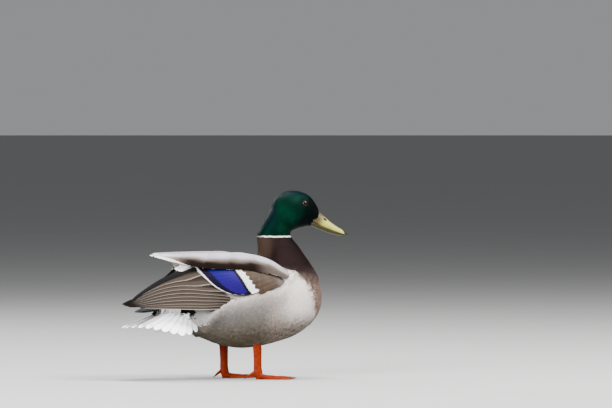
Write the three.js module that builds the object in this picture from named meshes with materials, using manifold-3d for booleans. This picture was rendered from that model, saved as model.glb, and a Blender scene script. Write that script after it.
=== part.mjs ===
// A mallard drake standing at life size, its right foot a short step ahead and its head turned a little to
// its right. Millimetres. +X is forward, +Y the bird's left and +Z up. The feet stand on Z = 0, and the
// origin ends up on the floor under the middle of the whole bird.
import * as THREE from "three";
import { mergeVertices } from "three/addons/utils/BufferGeometryUtils.js";
import Module from "manifold-3d";

const wasm = await Module();
wasm.setup();

// ---- Driving dimensions -------------------------------------------------------------------------
const GAP = 0.3; // clearance between neighbouring pieces
const RUMP_CUT_X = -84; // where the trunk gives way to the tail
const NECK_BASE = new THREE.Vector3(30, 0, 183); // on the slanting plane between the trunk and the neck
const NECK_BASE_NORMAL = new THREE.Vector3(0.3, 0, 1);
const RING_Z = 213; // height of the collar, where the neck gives way to the head
const NECK_X = 52; // the upright axis that the head turns on
const HEAD_TURN = THREE.MathUtils.degToRad(14); // to the bird's right
const TURN_FROM_Z = 160;
const TURN_TO_Z = 210;
const EYE = { x: 98, z: 261.5, side: 11.8, radius: 5.5 };
const TAIL = { x: -80, z: 117, droop: 21, halfFan: 64, arch: 38, feathers: 16, thick: 2 };
const LEG = {
  right: { x: 15, y: -33, toeOut: 2 },
  left: { x: -15, y: 33, toeOut: 3 },
  ankle: 9,
  knee: 60,
};
const WING_THICK = 5;
const FLIGHT_THICK = 3;
const FLIGHT_DEPTH = 1.6; // how far the primaries lie below the outer face of the wing

// ---- Shape helpers ------------------------------------------------------------------------------
const TURN = 2 * Math.PI;
const deg = THREE.MathUtils.degToRad;
const UP = new THREE.Vector3(0, 0, 1);
const FORWARD = new THREE.Vector3(1, 0, 0);
const SIDES = { right: -1, left: 1 };

// A smooth function of x through a few [x, value] knots, level beyond the first and the last.
function through(...knots) {
  const slope = knots.map((knot, i) => {
    const before = knots[Math.max(i - 1, 0)];
    const after = knots[Math.min(i + 1, knots.length - 1)];
    return (after[1] - before[1]) / (after[0] - before[0]);
  });
  return (x) => {
    if (x <= knots[0][0]) return knots[0][1];
    const i = knots.findIndex((knot) => knot[0] >= x);
    if (i < 0) return knots[knots.length - 1][1];
    const [x0, y0] = knots[i - 1];
    const [x1, y1] = knots[i];
    const span = x1 - x0;
    const t = (x - x0) / span;
    const t2 = t * t;
    const t3 = t2 * t;
    return (
      y0 * (2 * t3 - 3 * t2 + 1) +
      slope[i - 1] * span * (t3 - 2 * t2 + t) +
      y1 * (3 * t2 - 2 * t3) +
      slope[i] * span * (t3 - t2)
    );
  };
}

// Merges a closed geometry's shared vertices and makes it a solid, turned right side out if need be.
function solid(geometry) {
  const bare = geometry.clone();
  bare.deleteAttribute("normal");
  bare.deleteAttribute("uv");
  const merged = mergeVertices(bare, 1e-4);
  const triVerts = new Uint32Array(merged.index.array);
  const vertProperties = merged.attributes.position.array;
  const build = () => new wasm.Manifold(new wasm.Mesh({ numProp: 3, vertProperties, triVerts }));
  const made = build();
  if (made.volume() > 0) return made;
  triVerts.reverse();
  return build();
}

// A closed skin over rings of equally many points, with a single point at each end.
function skinOver(rings) {
  const sides = rings[0].length;
  const centre = (ring) => ring.reduce((sum, p) => sum.add(p), new THREE.Vector3()).divideScalar(sides);
  const points = [centre(rings[0]), ...rings.flat(), centre(rings[rings.length - 1])];
  const last = points.length - 1;
  const index = [];
  for (let j = 0; j < sides; j++) {
    const k = (j + 1) % sides;
    index.push(0, 1 + k, 1 + j);
    for (let i = 0; i + 1 < rings.length; i++) {
      const a = 1 + i * sides;
      const b = a + sides;
      index.push(a + j, a + k, b + j, a + k, b + k, b + j);
    }
    index.push(last, last - sides + j, last - sides + k);
  }
  const geometry = new THREE.BufferGeometry().setFromPoints(points);
  geometry.setIndex(index);
  return solid(geometry);
}

// Cosine spacing from a to b, so that rounded ends get closer rings.
function spaced(a, b, count) {
  const share = (i) => (1 - Math.cos((Math.PI * i) / (count - 1))) / 2;
  return Array.from({ length: count }, (_, i) => a + (b - a) * share(i));
}

// How much of its full section a body keeps at x, with an elliptical nose of length start and end.
function nose(x, from, to, start, end) {
  const least = 1e-4; // keeps the end sections from shrinking to nothing
  const cap = (run, length) =>
    length && run < length ? Math.sqrt(Math.max(1 - (1 - run / length) ** 2, least)) : 1;
  return cap(x - from, start) * cap(to - x, end);
}

const power = (value, exponent) => Math.sign(value) * Math.abs(value) ** exponent;

// A body whose sections stand square to one axis: "x" sections reach from low to high in Z,
// and "z" ones in X.
// full is where between low and high the section is widest, and square how boxy it is.
function body({ axis, from, to, rings, sides, low, high, half, full = 0.5, square, start, end, grow = 0 }) {
  return skinOver(
    spaced(from - grow, to + grow, rings).map((at) => {
      const keep = nose(at, from - grow, to + grow, start, end);
      const middle = (low(at) + high(at)) / 2;
      const reach = ((high(at) - low(at)) / 2) * keep + grow;
      const widest = middle + reach * (2 * full - 1);
      return Array.from({ length: sides }, (_, j) => {
        const angle = (TURN * j) / sides;
        const rise = power(Math.sin(angle), 2 / square);
        const across = (half(at) * keep + grow) * power(Math.cos(angle), 2 / square);
        const along = widest + rise * (rise > 0 ? middle + reach - widest : widest - middle + reach);
        return axis === "x" ? new THREE.Vector3(at, across, along) : new THREE.Vector3(along, across, at);
      });
    }),
  );
}

// A tube of oval section along straight pieces between [x, y, z, half width, half depth] stations.
function limb(stations, sides, grow = 0) {
  const at = stations.map(([x, y, z]) => new THREE.Vector3(x, y, z));
  return skinOver(
    stations.map(([, , , width, depth], i) => {
      const ahead = at[Math.min(i + 1, at.length - 1)].clone().sub(at[Math.max(i - 1, 0)]).normalize();
      const steep = Math.abs(ahead.z) > 0.7;
      const side = steep ? new THREE.Vector3(0, 1, 0) : new THREE.Vector3(-ahead.y, ahead.x, 0);
      side.addScaledVector(ahead, -side.dot(ahead)).normalize();
      const up = ahead.clone().cross(side);
      return Array.from({ length: sides }, (_, j) => {
        const angle = (TURN * j) / sides;
        return at[i]
          .clone()
          .addScaledVector(side, (width + grow) * Math.cos(angle))
          .addScaledVector(up, (depth + grow) * Math.sin(angle));
      });
    }),
  );
}

// A prism across the bird over an outline of [x, z] points, from one side's middle out to well past the body.
function sidePrism(outline, side) {
  const depth = 140;
  const shape = new THREE.Shape(outline.map(([x, z]) => new THREE.Vector2(x, z)));
  const geometry = new THREE.ExtrudeGeometry(shape, { depth, bevelEnabled: false });
  geometry.rotateX(Math.PI / 2);
  if (side > 0) geometry.translate(0, depth, 0);
  return solid(geometry);
}

// The outline moved inwards by a distance, corner by corner.
function inset(outline, distance) {
  const turnsLeft = THREE.ShapeUtils.area(outline.map(([x, z]) => new THREE.Vector2(x, z))) > 0;
  return outline.map((point, i) => {
    const before = outline[(i + outline.length - 1) % outline.length];
    const after = outline[(i + 1) % outline.length];
    const along = new THREE.Vector2(after[0] - before[0], after[1] - before[1]).normalize();
    const inwards = turnsLeft ? [-along.y, along.x] : [along.y, -along.x];
    return [point[0] + inwards[0] * distance, point[1] + inwards[1] * distance];
  });
}

// A box that holds everything on one side of a plane: the side that the normal points to.
function beyond(point, normal) {
  const reach = 400;
  const geometry = new THREE.BoxGeometry(2 * reach, 2 * reach, 2 * reach);
  geometry.translate(0, 0, reach);
  const turn = new THREE.Quaternion().setFromUnitVectors(UP, normal.clone().normalize());
  geometry.applyQuaternion(turn);
  geometry.translate(point.x, point.y, point.z);
  return solid(geometry);
}

// Splits a solid at a plane with a gap: [the part that the normal points to, the rest].
function split(whole, point, normal) {
  const unit = normal.clone().normalize();
  const half = point.clone().addScaledVector(unit, GAP / 2);
  const other = point.clone().addScaledVector(unit, -GAP / 2);
  return [whole.intersect(beyond(half, unit)), whole.subtract(beyond(other, unit))];
}

// Turns the neck and head about their upright axis, more and more up the neck.
function turned(made) {
  return made.warp((p) => {
    const angle = -HEAD_TURN * THREE.MathUtils.smoothstep(p[2], TURN_FROM_Z, TURN_TO_Z);
    const x = p[0] - NECK_X;
    const y = p[1];
    p[0] = NECK_X + x * Math.cos(angle) - y * Math.sin(angle);
    p[1] = x * Math.sin(angle) + y * Math.cos(angle);
  });
}

// ---- Trunk and neck -----------------------------------------------------------------------------
const trunkForm = {
  axis: "x",
  from: -136,
  to: 127,
  rings: 18,
  sides: 20,
  low: through(
    [-136, 94], [-120, 89], [-100, 81], [-78, 70], [-55, 58.5], [-27, 49.5], [5, 45.5], [45, 52],
    [80, 60], [127, 70],
  ),
  high: through(
    [-136, 105], [-120, 116], [-100, 132], [-84, 146], [-50, 168], [-15, 179], [30, 181], [70, 176],
    [127, 170],
  ),
  half: through(
    [-136, 11], [-120, 18], [-100, 29], [-84, 38], [-50, 57], [-15, 65.5], [25, 66.5], [65, 62],
    [127, 56],
  ),
  full: 0.47,
  square: 2.25,
  start: 10,
  end: 62,
};

const neckForm = {
  axis: "z",
  from: 112,
  to: 266,
  rings: 16,
  sides: 18,
  low: through(
    [112, 20], [150, 14], [172, 24], [186, 29], [200, 28.5], [213, 26.5], [222, 31], [236, 38],
    [266, 56],
  ),
  high: through(
    [112, 112], [128, 121], [140, 124], [152, 122.5], [172, 109.5], [186, 99.5], [200, 89.5],
    [213, 79.5], [222, 79], [266, 90],
  ),
  half: through(
    [112, 36], [150, 41], [172, 37.5], [186, 30], [200, 23.5], [213, 20.5], [236, 20], [266, 16],
  ),
  square: 2.1,
  start: 14,
  end: 14,
};

// ---- Head, bill and eyes ------------------------------------------------------------------------
const headForm = {
  axis: "x",
  from: 49,
  to: 124,
  rings: 15,
  sides: 18,
  low: through(
    [49, 246], [58, 230], [68, 222], [80, 220.5], [92, 224.5], [104, 227], [112, 228], [124, 233],
  ),
  high: through(
    [49, 263], [58, 272.5], [68, 278.7], [78, 281], [88, 280.8], [98, 278.4], [106, 274], [113, 266.5],
    [124, 249],
  ),
  half: through(
    [49, 9], [58, 15.5], [70, 19], [82, 19.6], [92, 18.4], [102, 15.6], [111, 12.6], [118, 10.6],
    [124, 9.5],
  ),
  full: 0.44,
  square: 2.15,
  start: 7,
};

const upperBillForm = {
  axis: "x",
  from: 98,
  to: 165,
  rings: 18,
  sides: 16,
  low: through(
    [98, 240], [108, 234.5], [118, 229.6], [128, 225.4], [138, 221.6], [148, 218], [158, 214.8],
    [165, 211.6],
  ),
  high: through(
    [98, 268], [112, 256.5], [121.5, 248.8], [130, 241.2], [138, 234.2], [148, 227], [157, 221.6],
    [165, 216.6],
  ),
  half: through([98, 12], [112, 10.4], [122, 9.6], [132, 9.4], [142, 10.4], [152, 11.5], [165, 11.8]),
  full: 0.16,
  square: 2.1,
  start: 3,
  end: 10,
};

const lowerBillForm = {
  ...upperBillForm,
  to: 160.5,
  rings: 14,
  low: through(
    [98, 232], [108, 228.6], [118, 224.4], [128, 220.2], [138, 216.6], [148, 214], [160.5, 211.6],
  ),
  high: through(
    [98, 243], [108, 237], [118, 232], [128, 227.6], [138, 223.6], [148, 220.2], [160.5, 215.4],
  ),
  half: through([98, 10], [118, 8.6], [132, 8.4], [150, 9.8], [160.5, 9.8]),
  full: 0.8,
};

// The slanting feather line between the face and the bill, from the top of the bill
// down and back to the gape.
const facePoint = new THREE.Vector3(116.5 - NECK_X, 0, 240.5);
const faceNormal = new THREE.Vector3(0.86, 0, -0.51);
facePoint.applyAxisAngle(UP, -HEAD_TURN).setX(facePoint.x + NECK_X);
faceNormal.applyAxisAngle(UP, -HEAD_TURN);
const aheadOfFace = (whole) => split(whole, facePoint, faceNormal)[0];
const behindFace = (whole) => split(whole, facePoint, faceNormal)[1];

function eyeball(side, grow = 0) {
  const geometry = new THREE.SphereGeometry(EYE.radius + grow, 12, 8);
  geometry.translate(EYE.x, side * EYE.side, EYE.z);
  return solid(geometry);
}

// ---- Wings --------------------------------------------------------------------------------------
// The folded wings' common outer face: a long body that tapers to the rear,
// taken in by a depth for the inner faces.
function wingEnvelope(depth) {
  return body({
    axis: "x",
    from: -204,
    to: 76,
    rings: 18,
    sides: 28,
    low: () => 48,
    high: through([-204, 174], [-140, 184], [-100, 187], [-40, 188], [20, 182], [76, 158]),
    half: through(
      [-204, 26], [-150, 43], [-110, 54], [-70, 63], [-30, 68.5], [10, 69.5], [45, 66.5], [76, 57],
    ),
    full: 0.5,
    square: 2.5,
    start: 3,
    end: 20,
    grow: -depth,
  });
}

// Arm of the folded wing, seen from the side: shoulder, coverts and secondaries,
// down to the flank's feather line.
const ARM_OUTLINE = [
  [54, 152],
  [46, 142],
  [34, 139.5],
  [22, 139],
  [8, 136],
  [-10, 129],
  [-38, 133],
  [-66, 142],
  [-80, 156],
  [-93, 171],
  [-60, 174],
  [-10, 172],
  [36, 160],
];

// The folded primaries, seen from the side, with a step at each feather's tip along the slope
// from the wing's point up to the innermost. The left wing is folded closer than the right: its
// primaries are pressed down toward the wing's lower edge.
const LEFT_PRESS = through([-178, 0.45], [-150, 0.45], [-130, 0.6], [-110, 0.7], [-98, 0.78], [-78, 1]);
const LEFT_PRESS_TO = 106;

function primaryOutline(side) {
  const feathers = 8;
  const closer = side > 0 ? 8 : 0;
  const tip = through([0, 118], [0.12, 126], [0.4, 145.5], [0.7, 159.5], [1, 168]);
  const outline = [
    [-70, 168],
    [-30, 140],
    [-2, 134],
    [-14, 126],
    [-47, 121],
    [-68, 112],
    [-100, 107.5],
    [-150, 108.5],
    [-178 + closer, 111],
  ];
  for (let i = 0; i < feathers; i++) {
    const at = i / (feathers - 1);
    const x = -186 + closer + (88 - closer) * at;
    outline.push([x, tip(at) - 3], [x + 5, tip(at) + 3.5]);
  }
  if (side < 0) return outline;
  return outline.map(([x, z]) => [x, LEFT_PRESS_TO + (z - LEFT_PRESS_TO) * LEFT_PRESS(x)]);
}

// The long scapulars and tertials: an arched roof over the top of each wing, from the shoulder
// to a free point behind. Each section runs from its outer edge over a crest and down to its
// inner edge beside the spine.
function tertials(side, grow = 0) {
  const from = side > 0 ? -128 : -154;
  const to = 60;
  const back = (share) => from + (-50 - from) * share;
  const crestY = through([from, 33], [-120, 36], [-80, 39], [-30, 41], [0, 42], [30, 46], [to, 50]);
  const crestZ = through(
    [from, 187.5], [-120, 188], [-80, 188.5], [-33, 188.5], [-8, 187.5], [30, 177.5], [to, 158],
  );
  const size = through(
    [from, 0.06], [back(0.14), 0.26], [back(0.37), 0.55], [back(0.66), 0.86], [-50, 1], [10, 1],
    [36, 0.8], [to, 0.5],
  );
  const deep = through(
    [from, 0.9], [back(0.23), 2], [-100, 4], [-70, 8], [-30, 12], [30, 10], [to, 5],
  );
  const outer = { y: 17.5, z: 23 };
  const inner = { y: -27, z: 15 };
  const steps = 4;
  return skinOver(
    spaced(from, to, 16).map((at) => {
      const x = at + (at === to ? grow : 0) - (at === from ? grow : 0);
      const keep = nose(at, from, to, 0, 14);
      const thickness = deep(at) * keep;
      const point = (reach, quarter, under) => {
        const angle = (Math.PI / 2) * quarter;
        const outwards = Math.sign(reach.y);
        const width = Math.abs(reach.y) * keep * size(at);
        const fall = reach.z * keep * size(at) + Math.min(1, thickness);
        const wall = Math.min(1.2, width / 2);
        const y = outwards * (under ? width - wall - grow : width + grow) * Math.sin(angle);
        const z = under
          ? -thickness - grow - (fall - thickness) * (1 - Math.cos(angle))
          : grow - (fall + 2 * grow) * (1 - Math.cos(angle));
        return new THREE.Vector3(x, side * (crestY(at) + y), crestZ(at) + z);
      };
      const sweep = (under) => [
        ...Array.from({ length: steps }, (_, i) => point(outer, 1 - i / steps, under)),
        ...Array.from({ length: steps + 1 }, (_, i) => point(inner, i / steps, under)),
      ];
      return [...sweep(false), ...sweep(true).reverse()];
    }),
  );
}

// ---- Tail ---------------------------------------------------------------------------------------
// A fan of quills about the tail's root, arched so that its sides hang down,
// with one scallop at each feather's tip.
function tailFan() {
  const perFeather = 3;
  const steps = TAIL.feathers * perFeather;
  const droop = deg(TAIL.droop);
  const back = new THREE.Vector3(-Math.cos(droop), 0, -Math.sin(droop));
  const up = new THREE.Vector3(-Math.sin(droop), 0, Math.cos(droop));
  const length = through([0, 112], [0.4, 99], [0.75, 87], [0.9, 79], [1, 60]);
  const shares = [0.1, 0.6, 1];
  const face = (lift) =>
    Array.from({ length: steps + 1 }, (_, i) => {
      const at = (2 * i) / steps - 1;
      const spread = deg(TAIL.halfFan) * at;
      const arch = deg(TAIL.arch) * Math.abs(at) ** 1.5;
      const notch = i % perFeather === 0 ? 3.5 : 0;
      return shares.map((share) => {
        const out = share * length(Math.abs(at)) - (share === 1 ? notch : 0);
        const sideways = out * Math.sin(spread);
        return new THREE.Vector3(TAIL.x, 0, TAIL.z)
          .addScaledVector(back, out * Math.cos(spread))
          .add(new THREE.Vector3(0, sideways * Math.cos(arch), 0))
          .addScaledVector(up, lift - Math.abs(sideways) * Math.sin(arch));
      });
    });
  const top = face(TAIL.thick / 2);
  const under = face(-TAIL.thick / 2);
  // Each ring runs out along the upper face and back along the lower one.
  return skinOver(top.map((line, i) => [...line, ...under[i].slice().reverse()]));
}

// ---- Legs and feet ------------------------------------------------------------------------------
function thigh({ x, y }, grow = 0) {
  return limb(
    [
      [x - 8, y * 0.9, 84 + grow, 12, 14],
      [x - 5, y * 0.94, 70, 11, 13],
      [x - 1, y, 59, 7.6, 9.6],
      [x, y, 53.5, 5.8, 7.4],
      [x, y, 50.5 - grow, 5, 6.4],
    ],
    12,
    grow,
  );
}

function shank({ x, y }) {
  return limb(
    [
      [x - 1, y, LEG.knee, 3.8, 5.4],
      [x, y, 52, 4.6, 7],
      [x + 0.5, y, 44, 4.1, 6.4],
      [x + 1, y, 28, 3.8, 6],
      [x + 1, y, 16, 4.2, 6.2],
      [x + 2, y, LEG.ankle, 4.7, 6.6],
    ],
    12,
  );
}

// Three webbed toes and a small raised hind toe, with flat soles at floor level.
function foot({ x, y, toeOut }, side) {
  const toes = [
    { out: -21, length: 46 },
    { out: 2, length: 58 },
    { out: 25, length: 52 },
  ];
  const heading = (out) => deg(out + toeOut) * side;
  const reach = (out, length) => [x + length * Math.cos(heading(out)), y + length * Math.sin(heading(out))];
  const root = [x + 2, y, LEG.ankle - 2, 3.9, 5];
  const parts = toes.map(({ out, length }) => {
    const at = (share) => reach(out, length * share);
    return limb(
      [
        root,
        [...at(0.16), 4.6, 3.2, 3.6],
        [...at(0.5), 3, 2.7, 2.8],
        [...at(0.86), 2, 2, 2.1],
        [...at(1), 1.1, 0.9, 1],
      ],
      7,
    );
  });
  // The web's edge hangs in a shallow curve from toe to toe.
  const edge = toes.flatMap(({ out, length }, i) => {
    const tip = reach(out, length * 0.9);
    if (i + 1 === toes.length) return [tip];
    const next = toes[i + 1];
    return [tip, reach((out + next.out) / 2, (length + next.length) * 0.405)];
  });
  const web = new THREE.ExtrudeGeometry(
    new THREE.Shape([[x + 3, y], ...edge].map(([a, b]) => new THREE.Vector2(a, b))),
    { depth: 2.4, bevelEnabled: false },
  );
  web.translate(0, 0, -0.4);
  const hind = limb(
    [
      [x - 2, y, 12, 2.4, 2.6],
      [x - 9, y - side * 2, 7.5, 2, 2.2],
      [x - 15, y - side * 4, 3.4, 1.2, 1.4],
    ],
    6,
  );
  const ankle = limb(
    [
      [x + 1, y, 16, 4.2, 6.2],
      [x + 2, y, LEG.ankle, 4.8, 6.8],
      [x + 3, y, 3, 4, 5],
      [x + 3, y, -1, 3, 4],
    ],
    12,
  );
  return [...parts, solid(web), hind]
    .reduce((whole, part) => whole.add(part), ankle)
    .intersect(beyond(new THREE.Vector3(), UP));
}

// ---- The bird, cut into its named pieces --------------------------------------------------------
const duck = new THREE.Group();

function finish(colour, roughness, metalness = 0) {
  return new THREE.MeshStandardMaterial({ color: new THREE.Color(...colour), roughness, metalness });
}

const finishes = {
  green: finish([0.012, 0.11, 0.07], 0.35, 0.3),
  brown: finish([0.16, 0.09, 0.07], 0.7),
  grey: finish([0.55, 0.53, 0.5], 0.8),
  wing: finish([0.32, 0.27, 0.23], 0.7),
  tertial: finish([0.58, 0.54, 0.5], 0.75),
  flight: finish([0.24, 0.19, 0.16], 0.6),
  tail: finish([0.85, 0.84, 0.83], 0.7),
  bill: finish([0.62, 0.55, 0.26], 0.4),
  eye: finish([0.03, 0.015, 0.01], 0.08),
  leg: finish([0.85, 0.2, 0.04], 0.5),
};

function add(name, made, material) {
  const mesh = made.getMesh();
  const count = mesh.numVert;
  const points = new Float32Array(count * 3);
  for (let i = 0; i < count; i++) {
    const first = i * mesh.numProp;
    points.set(mesh.vertProperties.subarray(first, first + 3), i * 3);
  }
  const geometry = new THREE.BufferGeometry();
  geometry.setAttribute("position", new THREE.BufferAttribute(points, 3));
  geometry.setIndex(new THREE.BufferAttribute(mesh.triVerts, 1));
  geometry.computeVertexNormals();
  const piece = new THREE.Mesh(geometry, material);
  piece.name = name;
  duck.add(piece);
}

const trunkAndNeck = body(trunkForm).add(turned(body(neckForm)));
const [neckAndHead, torso] = split(trunkAndNeck, NECK_BASE, NECK_BASE_NORMAL);
let trunk = torso;
let neckPiece = neckAndHead;

const innerWing = wingEnvelope(WING_THICK);
const pocketFloor = wingEnvelope(WING_THICK + GAP);
const flightFace = wingEnvelope(FLIGHT_DEPTH);
const flightBack = wingEnvelope(FLIGHT_DEPTH + FLIGHT_THICK);
const flightFloor = wingEnvelope(FLIGHT_DEPTH + FLIGHT_THICK + GAP);
const outerWing = wingEnvelope(0);

for (const [name, side] of Object.entries(SIDES)) {
  const roof = tertials(side);
  const roofRoom = tertials(side, GAP);
  const armRoom = sidePrism(ARM_OUTLINE, side);
  const flights = primaryOutline(side);
  const arm = sidePrism(inset(ARM_OUTLINE, GAP), side)
    .intersect(outerWing)
    .subtract(innerWing)
    .subtract(roofRoom);
  const primaries = sidePrism(flights, side)
    .intersect(flightFace)
    .subtract(flightBack)
    .subtract(armRoom)
    .subtract(roofRoom);
  trunk = trunk
    .subtract(armRoom.subtract(pocketFloor))
    .subtract(sidePrism(inset(flights, -GAP), side).subtract(flightFloor))
    .subtract(roofRoom);
  neckPiece = neckPiece.subtract(roofRoom);
  add(`wing_${name}`, arm, finishes.wing);
  add(`tertials_${name}`, roof, finishes.tertial);
  add(`primaries_${name}`, primaries, finishes.flight);
}

const [front, rump] = split(trunk, new THREE.Vector3(RUMP_CUT_X, 0, 0), FORWARD);
let barrel = front;
const behindCut = beyond(new THREE.Vector3(RUMP_CUT_X - GAP, 0, 0), FORWARD.clone().negate());
const wingSkin = wingEnvelope(-GAP).subtract(wingEnvelope(WING_THICK + GAP));
const bothPrimaries = sidePrism(primaryOutline(-1), -1).add(sidePrism(primaryOutline(1), 1));
const tail = rump.add(tailFan().intersect(behindCut)).subtract(wingSkin.intersect(bothPrimaries));

const neckTop = neckPiece.intersect(beyond(new THREE.Vector3(0, 0, RING_Z + GAP / 2), UP));
const neck = neckPiece.subtract(beyond(new THREE.Vector3(0, 0, RING_Z - GAP / 2), UP));
let head = behindFace(turned(body(headForm)).add(neckTop));
const upperBill = aheadOfFace(turned(body(upperBillForm)));
const lowerBill = aheadOfFace(turned(body(lowerBillForm).subtract(body({ ...upperBillForm, grow: GAP }))));
for (const [name, side] of Object.entries(SIDES)) {
  head = head.subtract(turned(eyeball(side, GAP)));
  add(`eye_${name}`, turned(eyeball(side)), finishes.eye);
}

for (const [name, side] of Object.entries(SIDES)) {
  const leg = LEG[name];
  const thighRoom = thigh(leg, GAP);
  const ankleCut = new THREE.Vector3(0, 0, LEG.ankle + 4);
  const [shankPiece] = split(shank(leg), ankleCut, UP);
  const [, footPiece] = split(foot(leg, side), ankleCut, UP);
  barrel = barrel.subtract(thighRoom);
  add(`thigh_${name}`, thigh(leg), finishes.grey);
  add(`shank_${name}`, shankPiece.subtract(thighRoom), finishes.leg);
  add(`foot_${name}`, footPiece, finishes.leg);
}

add("trunk", barrel, finishes.grey);
add("neck", neck, finishes.brown);
add("head", head, finishes.green);
add("bill_upper", upperBill, finishes.bill);
add("bill_lower", lowerBill, finishes.bill);
add("tail", tail, finishes.tail);

const box = new THREE.Box3().setFromObject(duck);
duck.position.set(-(box.min.x + box.max.x) / 2, -(box.min.y + box.max.y) / 2, 0);

export default duck;
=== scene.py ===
# %% [markdown]
# A mallard drake, standing still at life size. The bird is soft and layered: what an eye takes
# for one smooth surface is thousands of feathers, each lying over the next like a roof tile.
# It could be carved as one shape and painted, but then its edges would look hard. Here a skin is
# made first, then a coat of solid vanes is laid over it row by row, and the big wing and tail
# feathers are set one at a time. The fixed frame gives the size and place of each part.

# %% The frame and the tools
import math

import bmesh
import bpy
import numpy as np
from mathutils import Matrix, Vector
from mathutils.bvhtree import BVHTree


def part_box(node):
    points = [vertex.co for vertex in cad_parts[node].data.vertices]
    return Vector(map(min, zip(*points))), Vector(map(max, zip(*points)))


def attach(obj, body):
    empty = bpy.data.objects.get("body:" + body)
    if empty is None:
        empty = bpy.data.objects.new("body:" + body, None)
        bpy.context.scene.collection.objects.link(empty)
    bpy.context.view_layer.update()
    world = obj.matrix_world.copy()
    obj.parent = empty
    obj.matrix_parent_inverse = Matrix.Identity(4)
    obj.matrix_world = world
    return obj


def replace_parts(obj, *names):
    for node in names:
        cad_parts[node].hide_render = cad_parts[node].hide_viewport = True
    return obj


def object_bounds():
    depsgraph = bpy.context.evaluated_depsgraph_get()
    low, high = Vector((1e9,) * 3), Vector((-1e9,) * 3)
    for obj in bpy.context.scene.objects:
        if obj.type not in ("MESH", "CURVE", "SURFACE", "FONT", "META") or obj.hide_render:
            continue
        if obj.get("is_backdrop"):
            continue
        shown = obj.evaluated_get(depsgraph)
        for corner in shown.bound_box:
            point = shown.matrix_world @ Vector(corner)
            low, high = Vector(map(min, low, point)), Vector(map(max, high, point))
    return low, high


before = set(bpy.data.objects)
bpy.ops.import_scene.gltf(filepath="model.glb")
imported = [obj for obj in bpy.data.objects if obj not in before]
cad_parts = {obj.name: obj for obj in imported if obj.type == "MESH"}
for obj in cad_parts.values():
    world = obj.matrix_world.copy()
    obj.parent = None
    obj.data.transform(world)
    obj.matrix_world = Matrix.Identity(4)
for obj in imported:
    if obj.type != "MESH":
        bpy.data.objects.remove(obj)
frame_box = [list(corner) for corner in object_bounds()]
# The forms below are written in millimetres from the bird's own middle, FORWARD_BY behind the frame's.
FORWARD_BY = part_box("trunk")[1].x * 1000 - 127
rng = np.random.default_rng(7)
print("the frame is", [round(1000 * (b - a)) for a, b in zip(*frame_box)], "mm")

# %% [markdown]
# A bird has hardly a straight line, so every width and height here is a smooth curve through a few
# measured knots. One small function makes such a curve, and another is the soft step that fades
# one colour or height into the next.


# %% Smooth curves through knots
def through(*knots):
    """A smooth function through [place, value] knots, level beyond the first and last."""
    place, value = np.array(knots, float).T
    last = len(place) - 1
    before = np.maximum(np.arange(last + 1) - 1, 0)
    after = np.minimum(np.arange(last + 1) + 1, last)
    slope = (value[after] - value[before]) / (place[after] - place[before])

    def curve(x):
        x = np.clip(np.asarray(x, float), place[0], place[-1])
        i = np.clip(np.searchsorted(place, x), 1, last)
        span = place[i] - place[i - 1]
        t = (x - place[i - 1]) / span
        rise = 3 * t**2 - 2 * t**3
        bend = slope[i - 1] * (t**3 - 2 * t**2 + t) + slope[i] * (t**3 - t**2)
        return value[i - 1] * (1 - rise) + value[i] * rise + span * bend

    return curve


def fade(start, end, x):
    """0 before start, 1 after end, and a soft step between them."""
    t = np.clip((np.asarray(x, float) - start) / (end - start), 0, 1)
    return t * t * (3 - 2 * t)


def mix(a, b, share):
    """Goes from a to b as share goes from 0 to 1. Where a and b are colours, each point has its share."""
    share = np.asarray(share, float)
    if max(np.ndim(a), np.ndim(b)) > 0 and 3 in (np.shape(a)[-1:] + np.shape(b)[-1:]):
        share = share[..., None]
    return a + (b - a) * share


print("soft step at its middle:", float(fade(0, 2, 1)))

# %% [markdown]
# A mesh can be made face by face in an editor, or all at once from arrays. Arrays are far quicker
# for thousands of feathers, so every piece here is made from a list of points and faces.


# %% From points in millimetres to a mesh
def to_frame(points):
    """Millimetres from the bird's middle, made metres in the frame."""
    return (np.asarray(points, float) + (FORWARD_BY, 0, 0)) / 1000


def from_frame(points):
    return np.asarray(points, float) * 1000 - (FORWARD_BY, 0, 0)


def new_object(name, mesh):
    made = bpy.data.objects.new(name, mesh)
    bpy.context.scene.collection.objects.link(made)
    return made


def new_piece(name, points, faces):
    mesh = bpy.data.meshes.new(name)
    mesh.from_pydata(to_frame(points).tolist(), [], [tuple(f) for f in faces])
    mesh.validate()
    mesh.shade_smooth()
    return new_object(name, mesh)


def kept_in(mesh, what):
    """The places ("co") or the ways out ("normal") of a mesh's vertices, in metres."""
    flat = np.empty(len(mesh.vertices) * 3)
    mesh.vertices.foreach_get(what, flat)
    return flat.reshape(-1, 3)


def points_of(piece):
    """A piece's vertices, in millimetres from the bird's middle."""
    return from_frame(kept_in(piece.data, "co"))


def move_points(piece, points):
    piece.data.vertices.foreach_set("co", to_frame(points).ravel())
    piece.data.update()


def keep_on_points(piece, name, values):
    """Stores a colour or a vector on each vertex, for the material to read."""
    kind = "FLOAT_COLOR" if name == "tint" else "FLOAT_VECTOR"
    data = piece.data.attributes.new(name, kind, "POINT").data
    if kind == "FLOAT_COLOR":
        data.foreach_set("color", np.c_[values, np.ones(len(values))].ravel())
    else:
        data.foreach_set("vector", np.asarray(values, float).ravel())


def evaluated(made):
    """The mesh that an object's modifiers make of it."""
    return bpy.data.meshes.new_from_object(made.evaluated_get(bpy.context.evaluated_depsgraph_get()))


def wrap(piece, voxel, smoothings):
    """Wraps a piece in one even net, smooths it, and makes the result the piece's own mesh."""
    piece.modifiers.new("wrap", "REMESH").voxel_size = voxel / 1000
    smooth = piece.modifiers.new("smooth", "SMOOTH")
    smooth.factor, smooth.iterations = 0.5, smoothings
    shaped = evaluated(piece)
    piece.modifiers.clear()
    piece.data = shaped
    shaped.shade_smooth()


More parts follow.
